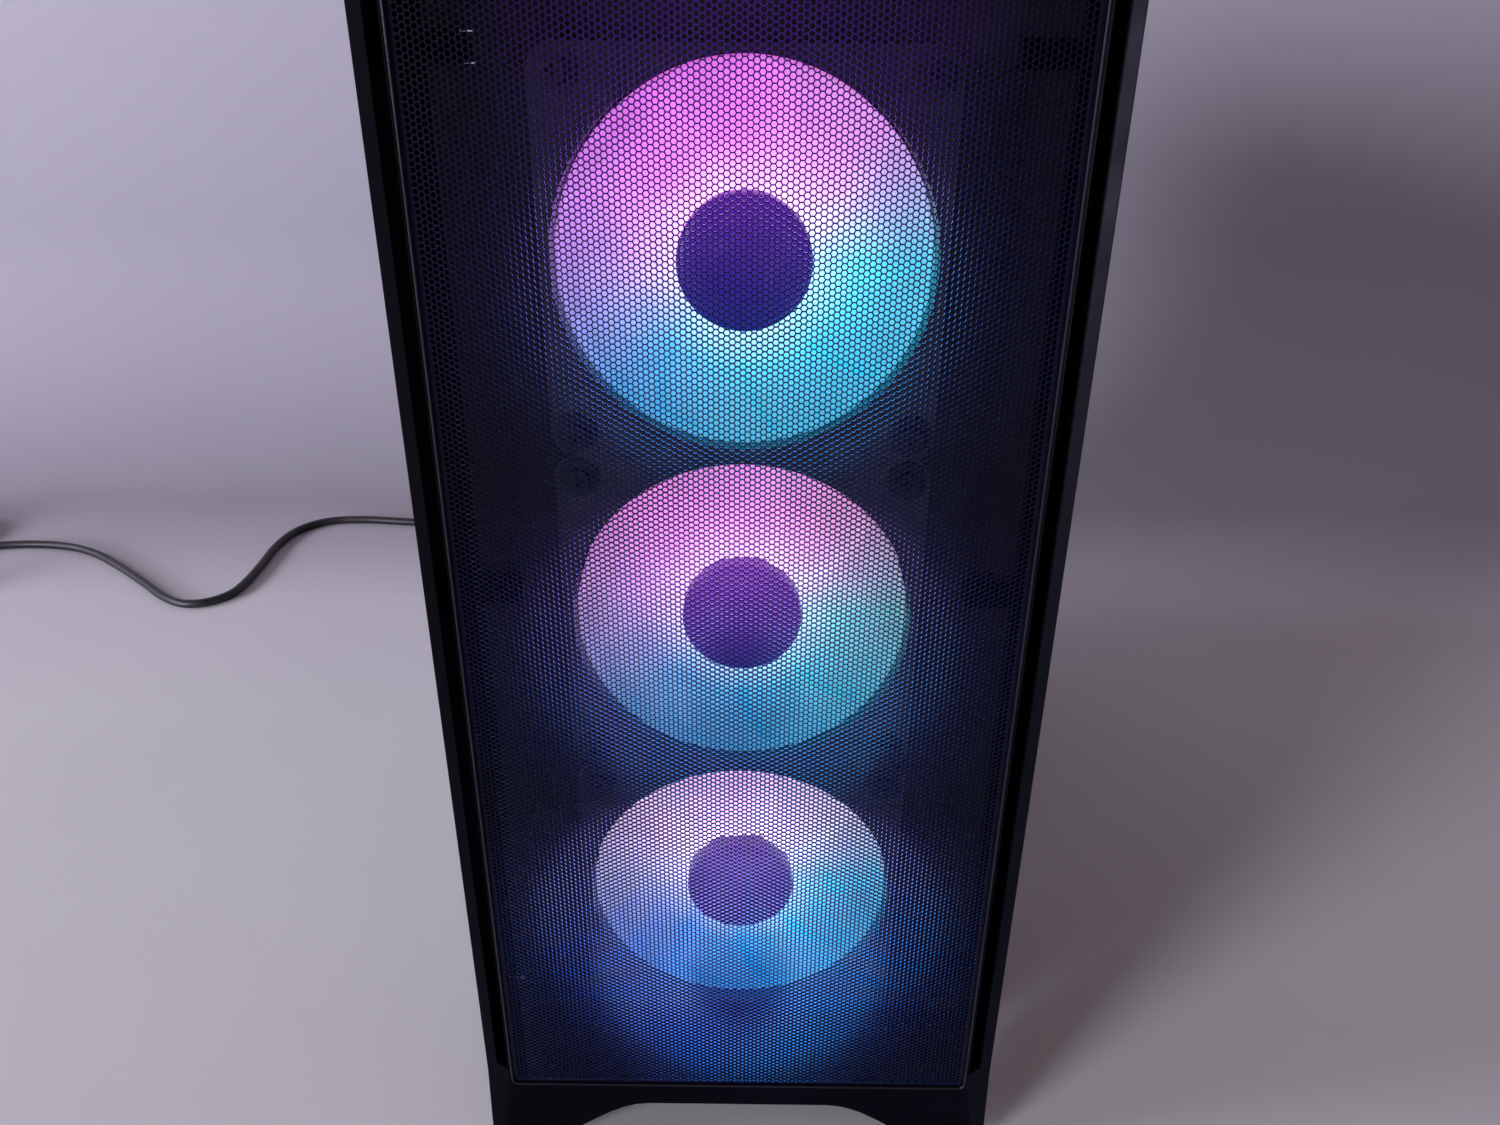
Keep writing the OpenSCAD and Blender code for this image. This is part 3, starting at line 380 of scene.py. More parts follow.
def hub_plastic(index):
    """The dark hub, with a faint glow for the tint that the light around it leaves on it."""
    s = Shader(f"hub_plastic_{index + 1}")
    height = s.node("ShaderNodeSeparateXYZ", {0: s.place}).outputs["Z"]
    z = FAN_Z[index] * MM
    up = s.spread(height, 0.0, 1.0, z - 0.02, z + 0.02)
    top, bottom = HUB_PAINTED_LIGHT[index]
    s.set(
        Base_Color=s.mix(
            s.spread(s.noise(90.0), 0.0, 1.0), (0.008, 0.006, 0.014, 1), (0.014, 0.012, 0.022, 1)
        ),
        Roughness=s.spread(s.noise(150.0), 0.3, 0.42),
        # painted light: the hub glows purple towards the top and blue towards the bottom, for the blades'
        # light falling on it
        Emission_Color=s.mix(up, rgba(bottom), rgba(top)),
        Emission_Strength=HUB_GLOW,
        Normal=s.bump(s.noise(1800.0, 2.0), 0.000015),
    )
    return s.material


def lamp_plastic(name, colour, strength):
    """Milky plastic that gives a little light of its own, uneven as over separate lamps."""
    s = Shader(name)
    uneven = s.spread(s.noise(120.0, 2.0), 0.7, 1.15)
    grey = s.grey(uneven)
    s.set(
        Base_Color=s.mix(uneven, (0.5, 0.5, 0.52, 1), (0.75, 0.75, 0.78, 1)),
        Roughness=0.4,
        Emission_Color=s.mix(1.0, rgba(colour), grey, "MULTIPLY"),
        Emission_Strength=strength,
    )
    return s.material


MATERIALS = {
    "black_steel": surface(
        "black_steel", (0.014, 0.014, 0.017), 0.42, grain=0.0009, relief=0.00003, worn=0.25
    ),
    "panel_plastic": surface(
        "panel_plastic", (0.0014, 0.0013, 0.0026), 0.48, grain=0.00035, relief=0.000014, soft=0.0013,
        Specular_IOR_Level=0.015,
    ),
    "bead_plastic": surface(
        "bead_plastic", (0.010, 0.0095, 0.015), 0.3, grain=0.0003, relief=0.00001, Specular_IOR_Level=0.25
    ),
    "mesh_sheet": perforated_metal(),
    "fan_plastic": surface(
        "fan_plastic", (0.014, 0.014, 0.018), 0.3, grain=0.0005, worn=0.1, Coat_Weight=0.5
    ),
    "rubber_black": surface("rubber_black", (0.013, 0.013, 0.014), 0.78, grain=0.0007, relief=0.00004),
    "shaft_steel": brushed("shaft_steel", (0.56, 0.57, 0.60), 0.2, "Y"),
    "bearing_bronze": surface("bearing_bronze", (0.48, 0.30, 0.13), 0.4, metal=1.0, grain=0.0003),
    "winding_copper": brushed("winding_copper", (0.62, 0.26, 0.10), 0.35, "X"),
    "light_board": surface("light_board", (0.72, 0.72, 0.76), 0.45, mottle=0.05),
    "dark_screws": surface("dark_screws", (0.03, 0.03, 0.034), 0.34, metal=0.7, grain=0.0004, worn=0.5),
    "radiator_metal": surface(
        "radiator_metal", (0.012, 0.012, 0.014), 0.4, metal=0.3, grain=0.0012, worn=0.2
    ),
    "nickel": brushed("nickel", (0.60, 0.59, 0.57), 0.22, "Y"),
    "hose_rubber": braided("hose_rubber", (0.012, 0.012, 0.014)),
    "pump_plastic": surface(
        "pump_plastic", (0.010, 0.010, 0.012), 0.2, grain=0.0004, relief=0.00001, Coat_Weight=0.4
    ),
    "impeller_plastic": surface("impeller_plastic", (0.62, 0.62, 0.64), 0.4, mottle=0.06),
    "cold_copper": brushed("cold_copper", (0.72, 0.34, 0.18), 0.18, "Y"),
    "circuit_board": circuit_board(),
    "memory_metal": brushed("memory_metal", (0.055, 0.055, 0.062), 0.36, "Z"),
    "shield_steel": brushed("shield_steel", (0.46, 0.46, 0.48), 0.32, "Z"),
    "usb_blue": surface("usb_blue", (0.010, 0.060, 0.30), 0.35, mottle=0.08),
    "button_plastic": surface("button_plastic", (0.016, 0.016, 0.019), 0.26, grain=0.0004, worn=0.15),
    "smoked_glass": smoked_glass(),
    "filter_plastic": surface("filter_plastic", (0.012, 0.012, 0.014), 0.6, grain=0.0006, relief=0.00003),
    "inlet_plastic": surface("inlet_plastic", (0.012, 0.012, 0.013), 0.45, grain=0.0004, worn=0.1),
    "lead_jacket": jacket(),
}

for row in RECORD["subparts"]:
    finish = MATERIALS.get(row["material_slot"])
    if finish:
        for slot in NODES[row["node"]].material_slots:
            slot.material = finish

# ---------- ways to make pieces ----------


def piece(name, bm, body, material, smooth=True):
    """Turns a bmesh into a named piece that rides on a body; its slot is by default the material's name."""
    bmesh.ops.recalc_face_normals(bm, faces=bm.faces)
    mesh = bpy.data.meshes.new(name)
    bm.to_mesh(mesh)
    bm.free()
    obj = bpy.data.objects.new(name, mesh)
    bpy.context.scene.collection.objects.link(obj)
    mesh.materials.append(MATERIALS[material] if isinstance(material, str) else material)
    if smooth:
        mesh.shade_smooth()
        mesh.set_sharp_from_angle(angle=math.radians(35))
    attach(obj, body)
    return obj


def add_block(bm, x, y, z, soft=0.4):
    """A box between two values in mm on each axis, with its edges rounded by soft mm."""
    low, high = mm(x[0], y[0], z[0]), mm(x[1], y[1], z[1])
    place = Matrix.Translation((low + high) / 2) @ Matrix.Diagonal((*(high - low), 1.0))
    made = bmesh.ops.create_cube(bm, size=1.0, matrix=place)["verts"]
    if soft:
        edges = {e for v in made for e in v.link_edges}
        bmesh.ops.bevel(bm, geom=list(edges), offset=soft * MM, segments=2, profile=0.6, affect="EDGES")


AXIS_TURNS = {
    "X": Matrix.Rotation(math.radians(90), 4, "Y"),
    "-X": Matrix.Rotation(math.radians(-90), 4, "Y"),
    "Y": Matrix.Rotation(math.radians(-90), 4, "X"),
    "-Y": Matrix.Rotation(math.radians(90), 4, "X"),
    "Z": Matrix.Identity(4),
}


def facing(axis, at):
    """A place at a point in mm whose own Z runs along one of the frame's axes."""
    return Matrix.Translation(mm(*at)) @ AXIS_TURNS[axis]


def add_lathe(bm, profile, place, steps=48, ripple=None):
    """Turns (radius, height) points in mm about place's Z axis; ripple(k) scales the radius at step k."""
    rings = []
    for radius, height in profile:
        if radius == 0:
            rings.append([bm.verts.new(place @ mm(0, 0, height))])
            continue
        ring = []
        for k in range(steps):
            r = radius * (ripple(k) if ripple else 1.0)
            turn = 2 * math.pi * k / steps
            ring.append(bm.verts.new(place @ mm(r * math.cos(turn), r * math.sin(turn), height)))
        rings.append(ring)
    for low, high in zip(rings, rings[1:]):
        for k in range(steps):
            n = (k + 1) % steps
            corners = [low[k % len(low)], low[n % len(low)], high[n % len(high)], high[k % len(high)]]
            corners = list(dict.fromkeys(corners))
            if len(corners) > 2:
                bm.faces.new(corners)


def smooth_line(points, steps):
    """Points along a Catmull-Rom curve through the given ones."""
    first, last = points[0] * 2 - points[1], points[-1] * 2 - points[-2]
    p = [first, *points, last]
    line = []
    for i in range(1, len(p) - 2):
        a, b, c, d = p[i - 1:i + 3]
        for k in range(steps):
            t = k / steps
            line.append((
                b * 2 + (c - a) * t + (a * 2 - b * 5 + c * 4 - d) * t * t + (b * 3 - a - c * 3 + d) * t ** 3
            ) * 0.5)
    return line + [points[-1]]


def curve_piece(name, points, radius, body, material, sides=4, closed=False):
    """A round tube along points in metres; a closed one runs back to its first point."""
    data = bpy.data.curves.new(name, "CURVE")
    data.dimensions = "3D"
    data.bevel_depth, data.bevel_resolution = radius, sides
    data.use_fill_caps = True
    spline = data.splines.new("POLY")
    spline.points.add(len(points) - 1)
    for made, point in zip(spline.points, points):
        made.co = (*point, 1.0)
    spline.use_smooth, spline.use_cyclic_u = True, closed
    obj = bpy.data.objects.new(name, data)
    bpy.context.scene.collection.objects.link(obj)
    data.materials.append(MATERIALS[material])
    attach(obj, body)
    return obj


# ---------- the mains lead ----------

LEAD_ROUTE = (
    (-45, 273, 90), (-45, 290, 88), (-46, 309, 79), (-50, 328, 61), (-58, 346, 39), (-71, 364, 19),
    (-91, 381, 7), (-120, 394, LEAD_R), (-160, 402, LEAD_R), (-205, 404, LEAD_R), (-255, 403, LEAD_R),
    (-305, 404, LEAD_R), (-350, 408, LEAD_R), (-383, 403, LEAD_R), (-403, 382, LEAD_R), (-409, 350, LEAD_R),
    (-408, 315, LEAD_R), (-408, 285, LEAD_R), (-412, 262, LEAD_R), (-425, 248, LEAD_R), (-444, 246, LEAD_R),
    (-465, 258, LEAD_R), (-490, 280, LEAD_R), (-525, 309, LEAD_R), (-560, 334, LEAD_R), (-595, 347, LEAD_R),
    (-635, 348, LEAD_R), (-675, 338, LEAD_R), (-706, 327, LEAD_R),
)
TAIL_ROUTE = (
    (-680, 364, 9.9), (-680, 350, 10), (-680, 334, 10.3), (-680, 318, 11), (-681, 300, 13),
    (-683, 282, 15.5), (-684, 262, 18), (-684, 246, 18.5),
)
COIL_AT, COIL_R = (-719, 364), 39
COIL_ENTRY, COIL_TURN = math.radians(-70.6), math.radians(720 - 70.6)
COIL_RISE = (math.radians(290), math.radians(340))


def coil_points():
    """Nearly two clockwise turns, the second lying on the first."""
    steps = 52
    points = []
    for k in range(1, steps):
        swept = COIL_TURN * k / steps
        t = min(1.0, max(0.0, (swept - COIL_RISE[0]) / (COIL_RISE[1] - COIL_RISE[0])))
        height = LEAD_R + 2 * LEAD_R * t * t * (3 - 2 * t)
        angle = COIL_ENTRY - swept
        x, y = COIL_AT[0] + COIL_R * math.cos(angle), COIL_AT[1] + COIL_R * math.sin(angle)
        points.append(mm(x, y, height))
    return points


def on_floor(points):
    """The same points, with any that sank below the lead's own radius lifted to it."""
    return [Vector((p.x, p.y, max(p.z, LEAD_R * MM))) for p in points]


def make_coil_tie():
    """A flat band round both turns, on the coil's far side."""
    bm = bmesh.new()
    x = COIL_AT[0] - COIL_R
    outer = [(x - 4.4, 0.05), (x + 4.4, 0.05), (x + 4.4, 13.6), (x - 4.4, 13.6)]
    inner = [(x - 3.7, 0.3), (x + 3.7, 0.3), (x + 3.7, 13.1), (x - 3.7, 13.1)]
    loops = []
    for y in (COIL_AT[1] - 6, COIL_AT[1] + 6):
        for outline in (outer, inner):
            loops.append([bm.verts.new(mm(px, y, pz)) for px, pz in outline])
    for k in range(4):
        n = (k + 1) % 4
        bm.faces.new((loops[0][k], loops[0][n], loops[2][n], loops[2][k]))
        bm.faces.new((loops[1][n], loops[1][k], loops[3][k], loops[3][n]))
        bm.faces.new((loops[0][n], loops[0][k], loops[1][k], loops[1][n]))
        bm.faces.new((loops[2][k], loops[2][n], loops[3][n], loops[3][k]))
    return piece("coil_tie", bm, "chassis", "rubber_black")


def make_plug():
    """A round plug with a ribbed strain relief and two pins, at the end of the tail."""
    bm = bmesh.new()
    end = TAIL_ROUTE[-1]
    relief = [(0, 0), (4.0, 0)]
    for k in range(9):
        h = 1.5 + 2.0 * k
        r = 4.0 + 4.0 * h / 20
        relief += [(r + 0.5, h), (r + 0.5, h + 1.2), (r - 0.3, h + 1.5)]
    body = [
        (8.6, 20), (14.0, 21.2), (17.2, 23.5), (18.3, 27), (18.3, 47.5), (17.6, 49.2), (16.5, 50), (0, 50),
    ]
    add_lathe(bm, relief + body, facing("-Y", end), 56)
    plug = piece("plug_body", bm, "chassis", "lead_jacket")
    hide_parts("lead_plug")
    bm = bmesh.new()
    pin = [(0, 0), (2.4, 0), (2.4, 16.5), (2.1, 18.4), (1.3, 19.4), (0, 19.5)]
    for side in (-9.5, 9.5):
        add_lathe(bm, pin, facing("-Y", (end[0] + side, end[1] - 49.5, end[2])), 24)
    return plug, piece("plug_pins", bm, "chassis", "nickel")


def make_inlet_connector():
    """The connector in the power supply's inlet, with grips on its sides and a ribbed strain relief."""
    bm = bmesh.new()
    add_block(bm, (-58.5, -31.5), (207.1, 245), (80, 100), 3.2)
    for k in range(4):
        y = 214 + 6 * k
        add_block(bm, (-59.1, -30.9), (y, y + 2.4), (83, 97), 0.5)
    ribs = [(0, 0), (9.4, 0)]
    for k in range(10):
        h = 1.0 + 2.6 * k
        r = 8.6 - 4.4 * h / 28
        ribs += [(r + 0.6, h), (r + 0.6, h + 1.5), (r - 0.3, h + 1.9)]
    add_lathe(bm, ribs + [(3.9, 28), (0, 28)], facing("Y", (-45, 244.5, 90)), 40)
    connector = piece("inlet_connector", bm, "chassis", "lead_jacket")
    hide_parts("lead_connector")
    return connector


def make_lead():
    """The lead from the power supply to its coil and plug, with the pieces on it."""
    route = on_floor(smooth_line([mm(*p) for p in LEAD_ROUTE], 6))
    tail = on_floor(smooth_line([mm(*p) for p in TAIL_ROUTE], 6))
    line = route + coil_points() + tail
    lead = curve_piece("mains_lead", line, LEAD_R * MM, "chassis", "lead_jacket", 5)
    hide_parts("lead_tube", "lead_coil", "lead_tail")
    tie = make_coil_tie()
    plug, pins = make_plug()
    connector = make_inlet_connector()


make_lead()

# ---------- the perforated front ----------

PITCH, HOLE = 1.8, 1.42        # hole spacing and hole width across flats, in mm
BANDS = 4


def make_front_sheet():
    """A staggered field of six-sided holes, in bands that each make one closed mesh, with a plain rim."""
    step = PITCH * math.sqrt(3) / 2
    columns = int((SHEET_X[1] - SHEET_X[0]) / step)
    rows = int((SHEET_Z[1] - SHEET_Z[0]) / PITCH)
    x0 = (SHEET_X[0] + SHEET_X[1] - (columns - 1) * step) / 2
    z0 = (SHEET_Z[0] + SHEET_Z[1] - (rows - 0.5) * PITCH) / 2
    corner = HOLE / 2 / math.cos(math.pi / 6)
    rim = [(corner * math.cos(k * math.pi / 3), corner * math.sin(k * math.pi / 3)) for k in range(6)]

    def neighbour(i, j, direction):
        """The hole next to hole (i, j): 0 is right and up, 1 is straight up, 2 is left and up."""
        if direction == 1:
            return i, j + 1
        other = i + 1 if direction == 0 else i - 1
        return other, j + (i % 2)

    for band in range(BANDS):
        first, last = rows * band // BANDS, rows * (band + 1) // BANDS
        verts, faces, index = [], [], {}

        def corner_of(hole, k):
            key = (*hole, k % 6)
            if key not in index:
                i, j = hole
                index[key] = len(verts)
                dx, dz = rim[k % 6]
                verts.append((x0 + i * step + dx, z0 + (j + 0.5 * (i % 2)) * PITCH + dz))
            return index[key]

        def inside(hole):
            return 0 <= hole[0] < columns and 0 <= hole[1] < rows

        for i in range(columns):
            for j in range(first, last):
                here = (i, j)
                near = [neighbour(i, j, d) for d in range(3)]
                for d, other in enumerate(near):
                    if inside(other):
                        faces.append((
                            corner_of(here, d), corner_of(other, d + 4),
                            corner_of(other, d + 3), corner_of(here, d + 1),
                        ))
                for d in (0, 1):
                    a, b = near[d], near[d + 1]
                    if inside(a) and inside(b):
                        faces.append((corner_of(here, d + 1), corner_of(a, d + 3), corner_of(b, d + 5)))
        edges = dict.fromkeys(pair for face in faces for pair in zip(face, face[1:] + face[:1]))
        count = len(verts)
        points = [mm(x, SHEET_Y[0], z) for x, z in verts] + [mm(x, SHEET_Y[1], z) for x, z in verts]
        solid = list(faces) + [tuple(v + count for v in reversed(face)) for face in faces]
        solid += [(b, a, a + count, b + count) for a, b in edges if (b, a) not in edges]
        mesh = bpy.data.meshes.new(f"front_sheet_{band + 1}")
        mesh.from_pydata(points, [], solid)
        mesh.materials.append(MATERIALS["mesh_sheet"])
        mesh.validate()
        obj = bpy.data.objects.new(mesh.name, mesh)
        bpy.context.scene.collection.objects.link(obj)
        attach(obj, "front_panel")
    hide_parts("front_mesh")

    bm = bmesh.new()
    width, lap = 1.5, 0.05
    y = (SHEET_Y[0] - lap, SHEET_Y[1] + lap)
    add_block(bm, (SHEET_X[0], SHEET_X[0] + width), y, SHEET_Z, 0.1)
    add_block(bm, (SHEET_X[1] - width, SHEET_X[1]), y, SHEET_Z, 0.1)
    add_block(bm, (SHEET_X[0] + width, SHEET_X[1] - width), y, (SHEET_Z[0], SHEET_Z[0] + width), 0.1)
    add_block(bm, (SHEET_X[0] + width, SHEET_X[1] - width), y, (SHEET_Z[1] - width, SHEET_Z[1]), 0.1)
    piece("front_sheet_rim", bm, "front_panel", "mesh_sheet")


make_front_sheet()


def make_front_bead():
    """The fine raised bead round the perforated sheet, with small round corners."""
    half, low, high, corner, bead_r = 91.45, 36.3, 446.1, 2.5, 0.45
    points = []
    for cx, cz, start in (
        (half - corner, high - corner, 0), (corner - half, high - corner, 90),
        (corner - half, low + corner, 180), (half - corner, low + corner, 270),
    ):
        for k in range(7):
            a = math.radians(start + 15 * k)
            points.append(mm(cx + corner * math.cos(a), FRONT_Y, cz + corner * math.sin(a)))
    curve_piece(
        "front_bead", points, bead_r * MM, "front_panel", "bead_plastic", 3, True
    )


make_front_bead()

# ---------- fans ----------

BLADES = 9
BLADE_SPAN = math.radians(360 / BLADES + 12)    # each blade laps 12 degrees over the next
BLADE_SWEEP = math.radians(14)
TIP_RING = (55.2, 56.4, 7.0, 21.4)          # inner and outer radius, back and front height, in mm
BLADE_MID = 14                              # a blade's mean height, in mm
BLADE_LIFTS = (4, 8.5)                      # how far it climbs at the hub and at the tip, in mm


def add_blade(bm, place, start):
    """One wide, swept blade as a thin closed shell from the hub to the duct."""
    across, out = 16, 9
    sides = []
    for side in (1, -1):
        grid = []
        for i in range(across + 1):
            u = i / across
            thick = 0.35 + 0.55 * math.sqrt(max(0.0, 1 - (2 * u - 1) ** 2))
            row = []
            for j in range(out + 1):
                v = j / out
                radius = HUB_R - 0.8 + (TIP_RING[0] + 0.4 - HUB_R + 0.8) * v
                angle = start + (u - 0.5) * BLADE_SPAN + BLADE_SWEEP * v * v
                lift = BLADE_LIFTS[0] + (BLADE_LIFTS[1] - BLADE_LIFTS[0]) * v
                height = BLADE_MID + (u - 0.5) * lift + 1.0 * math.sin(math.pi * u)
                row.append(bm.verts.new(place @ mm(
                    radius * math.cos(angle), radius * math.sin(angle), height + side * thick
                )))
            grid.append(row)
        sides.append(grid)
        for i in range(across):
            for j in range(out):
                bm.faces.new((grid[i][j], grid[i + 1][j], grid[i + 1][j + 1], grid[i][j + 1]))
    top, under = sides
    border = [(i, 0) for i in range(across)] + [(across, j) for j in range(out)]
    border += [(i, out) for i in range(across, 0, -1)] + [(0, j) for j in range(out, 0, -1)]
    for (a, b), (c, d) in zip(border, border[1:] + border[:1]):
        bm.faces.new((top[a][b], top[c][d], under[c][d], under[a][b]))


def make_fan(index):
    """One fan's lit blades with their tip ring, and its dark hub."""
    body = f"rotor_{index + 1}"
    place = facing("-Y", (0, FAN_BACK_Y, FAN_Z[index]))
    bm = bmesh.new()
    for k in range(BLADES):
        add_blade(bm, place, 2 * math.pi * k / BLADES)
    inner, outer, back, front = TIP_RING
    ring = [(inner, back), (outer, back), (outer, front - 0.3), (outer - 0.3, front), (inner + 0.3, front)]
    add_lathe(bm, ring + [(inner, front - 0.3), (inner, back)], place, 120)
    bmesh.ops.remove_doubles(bm, verts=bm.verts, dist=1e-7)
    blades = piece(f"fan_blades_{index + 1}", bm, body, lit_blades(index))
    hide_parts(f"fan_rotor_{index + 1}")
    bm = bmesh.new()
    outside = [
        (18.2, 6.6), (HUB_R, 6.6), (HUB_R, 21.6), (20.2, 22.5), (19.3, 23.2), (17.6, 23.5), (9.0, 23.45),
        (8.6, 23.2), (0, 23.2),
    ]
    under = [(0, 21.3), (1.55, 21.3), (1.55, 17.7), (3.2, 17.7), (3.2, 21.3), (18.2, 21.3), (18.2, 6.6)]
    add_lathe(bm, outside + under, place, 72)
    bmesh.ops.remove_doubles(bm, verts=bm.verts, dist=1e-7)
    piece(f"fan_hub_{index + 1}", bm, body, hub_plastic(index))


for number in range(len(FAN_Z)):
    make_fan(number)

# ---------- thumbscrews ----------


def add_thumbscrew(bm, place, radius, height, shank_r, shank):
    """A knurled head on a plain shank; place's Z runs from the shank to the head."""
    knurl = [
        (0, 0), (radius * 0.92, 0), (radius, 0.6), (radius, height - 1.2), (radius * 0.93, height - 0.5),
        (radius * 0.90, height - 0.5), (0, height - 0.5),
    ]
    add_lathe(bm, knurl, place, 96, lambda k: 1.0 if k % 4 < 2 else 0.955)
    under, top = height - 0.6, height - 0.02
    add_lathe(bm, [(0, under), (radius * 0.80, under), (radius * 0.76, top), (0, top)], place, 48)
    pin = [(0, -shank), (shank_r * 0.7, -shank), (shank_r, -shank + 0.8), (shank_r, 0.1), (0, 0.1)]
    add_lathe(bm, pin, place, 32)


def make_thumbscrews():
    bm = bmesh.new()
    for y in (-155, 192):
        for z in (40, 438):
            add_thumbscrew(bm, facing("-X", (-99, y, z)), 7, 4, 1.9, 9)
    glass_screws = piece("glass_screws", bm, "glass_side", "dark_screws")
    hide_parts("glass_thumbscrews")
    bm = bmesh.new()
    for z in (60, 420):
        add_thumbscrew(bm, facing("Y", (96, 207.2, z)), 6, 7.8, 1.7, 11.2)
    rear_screws = piece("rear_screws", bm, "steel_side", "dark_screws")
    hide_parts("rear_thumbscrews")


make_thumbscrews()

# ---------- small parts inside, seen through the glass side ----------


def make_board_parts():
    """Chokes, capacitors, a drive's ribbed cover and a cell on the motherboard."""
    face = BOARD_X + 0.1
    bm = bmesh.new()
    for z in range(300, 396, 12):
        add_block(bm, (BOARD_X - 6.5, face), (151, 159), (z, z + 8), 0.9)
        add_block(bm, (BOARD_X - 7.0, BOARD_X - 6.4), (153, 157), (z + 1.5, z + 6.5), 0.2)
    for y in range(70, 138, 14):
        add_block(bm, (BOARD_X - 6.5, face), (y, y + 8), (430, 437), 0.9)
    piece("board_chokes", bm, "chassis", "memory_metal")

    can = [
        (0, 0), (3.0, 0), (3.2, 0.5), (3.0, 1.2), (3.2, 1.6), (3.2, 7.2), (2.9, 7.8), (2.5, 7.8), (2.4, 7.6),
        (0, 7.6),
    ]
    bm = bmesh.new()
    places = [(167.5, z) for z in range(299, 396, 12)]
    places += [(y, 432) for y in (146, 155, 164)] + [(-32, 312), (-24, 312), (-32, 321), (-24, 321)]
    places += [(y, 145) for y in (150, 160, 170, 180)] + [(8, 232), (8, 241)]
    for y, z in places:
        add_lathe(bm, can, facing("-X", (face, y, z)), 20)
    piece("board_capacitors", bm, "chassis", "nickel")

    bm = bmesh.new()
    add_block(bm, (BOARD_X - 4.5, face), (62, 142), (226, 247), 0.8)
    for k in range(6):
        z = 227.5 + 3.2 * k
        add_block(bm, (BOARD_X - 6.2, BOARD_X - 4.3), (64, 140), (z, z + 1.6), 0.3)
    for k in range(8):
        z = 168 + 5.4 * k
        add_block(bm, (BOARD_X - 10.2, BOARD_X - 8.9), (-19, 21), (z, z + 2.6), 0.4)
    piece("board_heat_spreaders", bm, "chassis", "memory_metal")

    bm = bmesh.new()
    cell = [(0, 0), (10.4, 0), (10.4, 1.6), (10.0, 1.6), (10.0, 3.0), (9.6, 3.3), (0, 3.3)]
    add_lathe(bm, cell, facing("-X", (face, 38, 236)), 40)
    piece("board_cell", bm, "chassis", "nickel")


def make_pump_light():
    """The ring of light let into the pump's cap."""
    bm = bmesh.new()
    ring = [(26.65, 0), (27.85, 0), (27.85, 0.75), (27.6, 0.95), (26.9, 0.95), (26.65, 0.75), (26.65, 0)]
    add_lathe(bm, ring, facing("-X", (PUMP_X[0] - 1.98, CPU[1], CPU[2])), 96)
    bmesh.ops.remove_doubles(bm, verts=bm.verts, dist=1e-7)
    piece("pump_light", bm, "chassis", lamp_plastic("pump_light", (0.25, 0.45, 1.0), 3.0))


make_board_parts()
make_pump_light()

# ---------- lights, floor and backdrop ----------


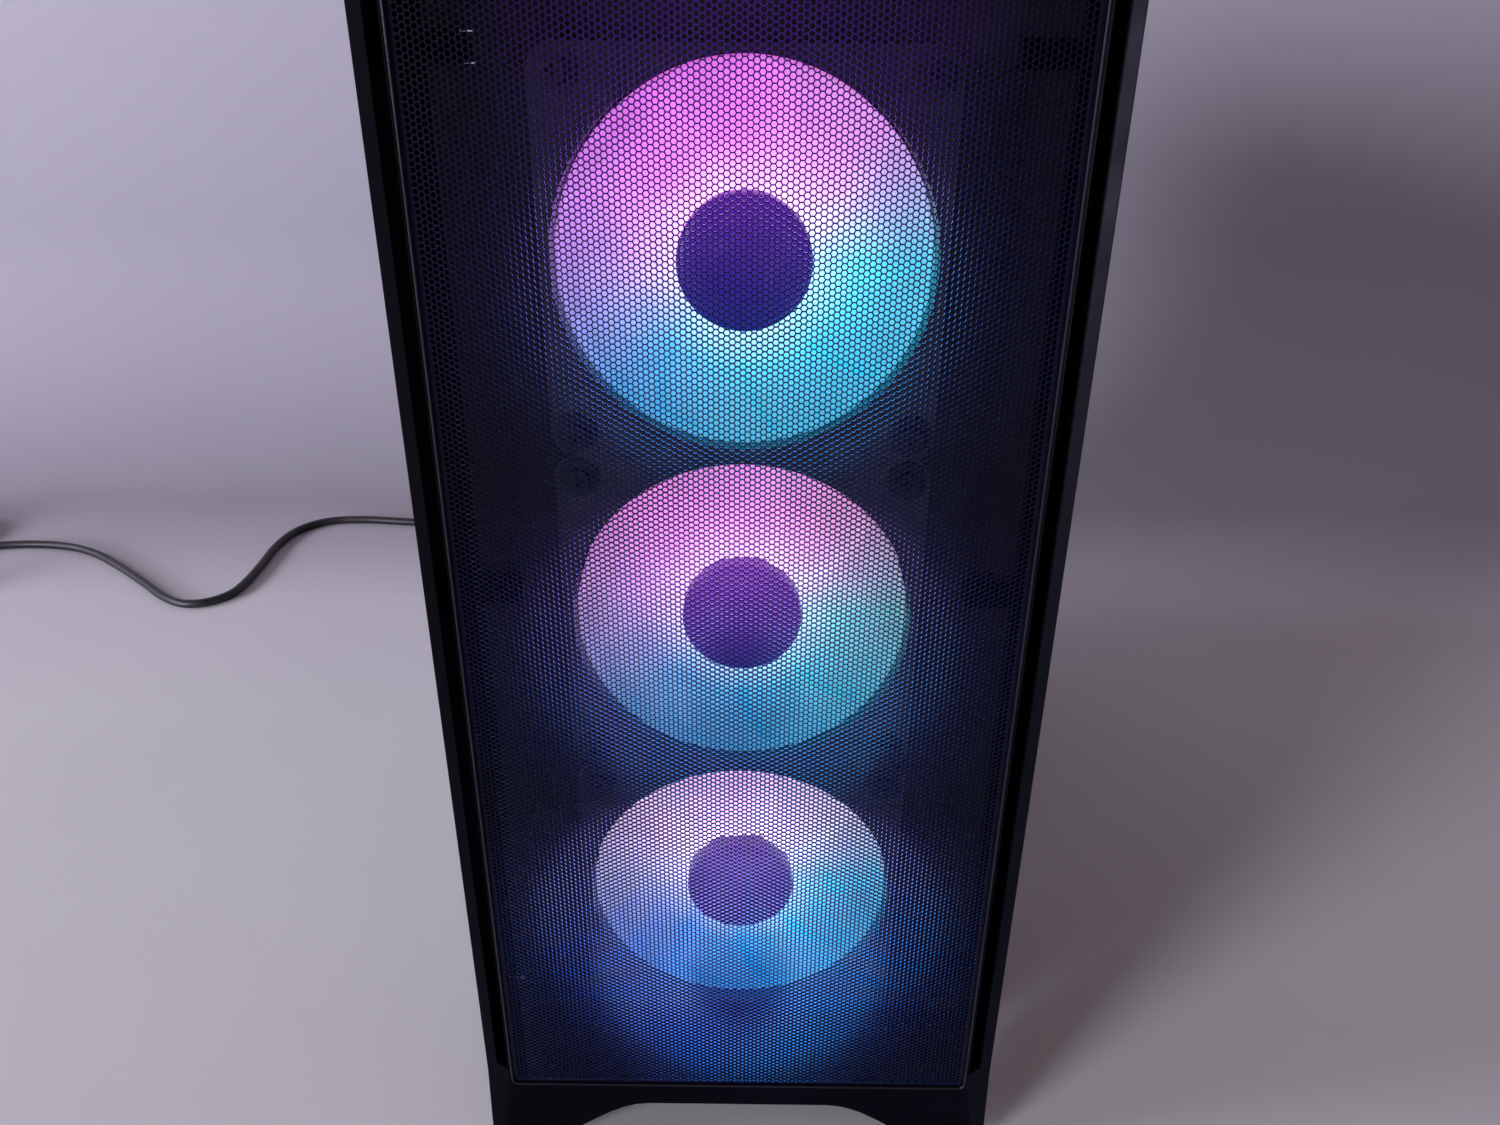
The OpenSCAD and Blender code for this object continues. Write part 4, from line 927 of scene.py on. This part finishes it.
def make_stage():
    """A pale sweep: a floor that curves up into a wall, which hides the tower from a camera behind it."""
    s = Shader("pale_sweep")
    axes = s.node("ShaderNodeSeparateXYZ", {0: s.place}).outputs
    along = s.maths("ADD", axes["Y"], axes["Z"])
    # Painted shade: the pale paper darkens from the floor behind the tower into the bend and up the wall,
    # where it also takes a faint painted lavender tint of cool light; the top of the wall lightens a little
    # again.
    paper_with_painted_shade = s.ramp(s.spread(along, 0.0, 1.0, 0.1, 1.1), [
        (0.0, (0.72, 0.73, 0.70)), (0.16, (0.66, 0.66, 0.66)), (0.26, (0.46, 0.45, 0.47)),
        (0.36, (0.34, 0.33, 0.36)), (0.50, (0.33, 0.32, 0.36)), (0.78, (0.35, 0.34, 0.39)),
        (1.0, (0.40, 0.39, 0.44)),
    ])
    s.set(
        Base_Color=s.mix(s.spread(s.noise(3.0, 4.0), 0.0, 0.15), paper_with_painted_shade, (0.44, 0.43, 0.46, 1)),
        Roughness=0.62,
        Specular_IOR_Level=0.3,
        Normal=s.bump(s.noise(500.0), 0.00004),
    )
    near_y, bend_y, bend_r, height, half_width = -3.0, 0.44, 0.22, 2.6, 4.0
    profile = [(near_y, 0.0), (bend_y, 0.0)]
    for k in range(1, 13):
        a = math.radians(90 * k / 12)
        profile.append((bend_y + bend_r * math.sin(a), bend_r * (1 - math.cos(a))))
    profile.append((bend_y + bend_r, height))
    verts = [(x, y, z) for x in (-half_width, half_width) for y, z in profile]
    count = len(profile)
    faces = [(k, k + count, k + count + 1, k + 1) for k in range(count - 1)]
    mesh = bpy.data.meshes.new("sweep")
    mesh.from_pydata(verts, [], faces)
    mesh.shade_smooth()
    mesh.materials.append(s.material)
    sweep = bpy.data.objects.new("sweep", mesh)
    bpy.context.scene.collection.objects.link(sweep)


def area_light(name, at, look_at, size, watts, colour):
    data = bpy.data.lights.new(name, "AREA")
    data.shape, data.size, data.energy, data.color = "DISK", size, watts, colour
    light = bpy.data.objects.new(name, data)
    light.location = at
    light.rotation_euler = (Vector(look_at) - Vector(at)).to_track_quat("-Z", "Y").to_euler()
    bpy.context.scene.collection.objects.link(light)
    return light


def make_lights():
    """Four lights and a dim room; the rim light is linked to the front panel's frame and lights only that."""
    cool, warm, blue = (0.86, 0.83, 1.0), (1.0, 0.68, 0.74), (0.72, 0.72, 1.0)
    area_light("key", (-3.4, -3.1, 1.0), (-0.1, 0.1, 0.1), 1.5, 200, cool)
    area_light("window", (-4.5, -0.6, 2.0), (-0.2, 0.1, 0.0), 1.6, 110, cool)
    area_light("fill", (1.6, -1.6, 1.6), (0, 0, 0.2), 2.2, 1.5, warm)
    rim = area_light("rim", (2.6, -1.0, 0.02), (0.1, -0.2, 0.1), 0.9, 330, blue)
    trim = bpy.data.collections.new("front_trim")
    trim.objects.link(NODES["front_panel_frame"])
    rim.light_linking.receiver_collection = trim
    world = bpy.data.worlds.new("room")
    world.use_nodes = True
    world.node_tree.nodes["Background"].inputs["Color"].default_value = (1.0, 0.74, 0.82, 1)
    world.node_tree.nodes["Background"].inputs["Strength"].default_value = 0.15
    bpy.context.scene.world = world
    bpy.context.scene.view_settings.view_transform = "Standard"


make_stage()
make_lights()
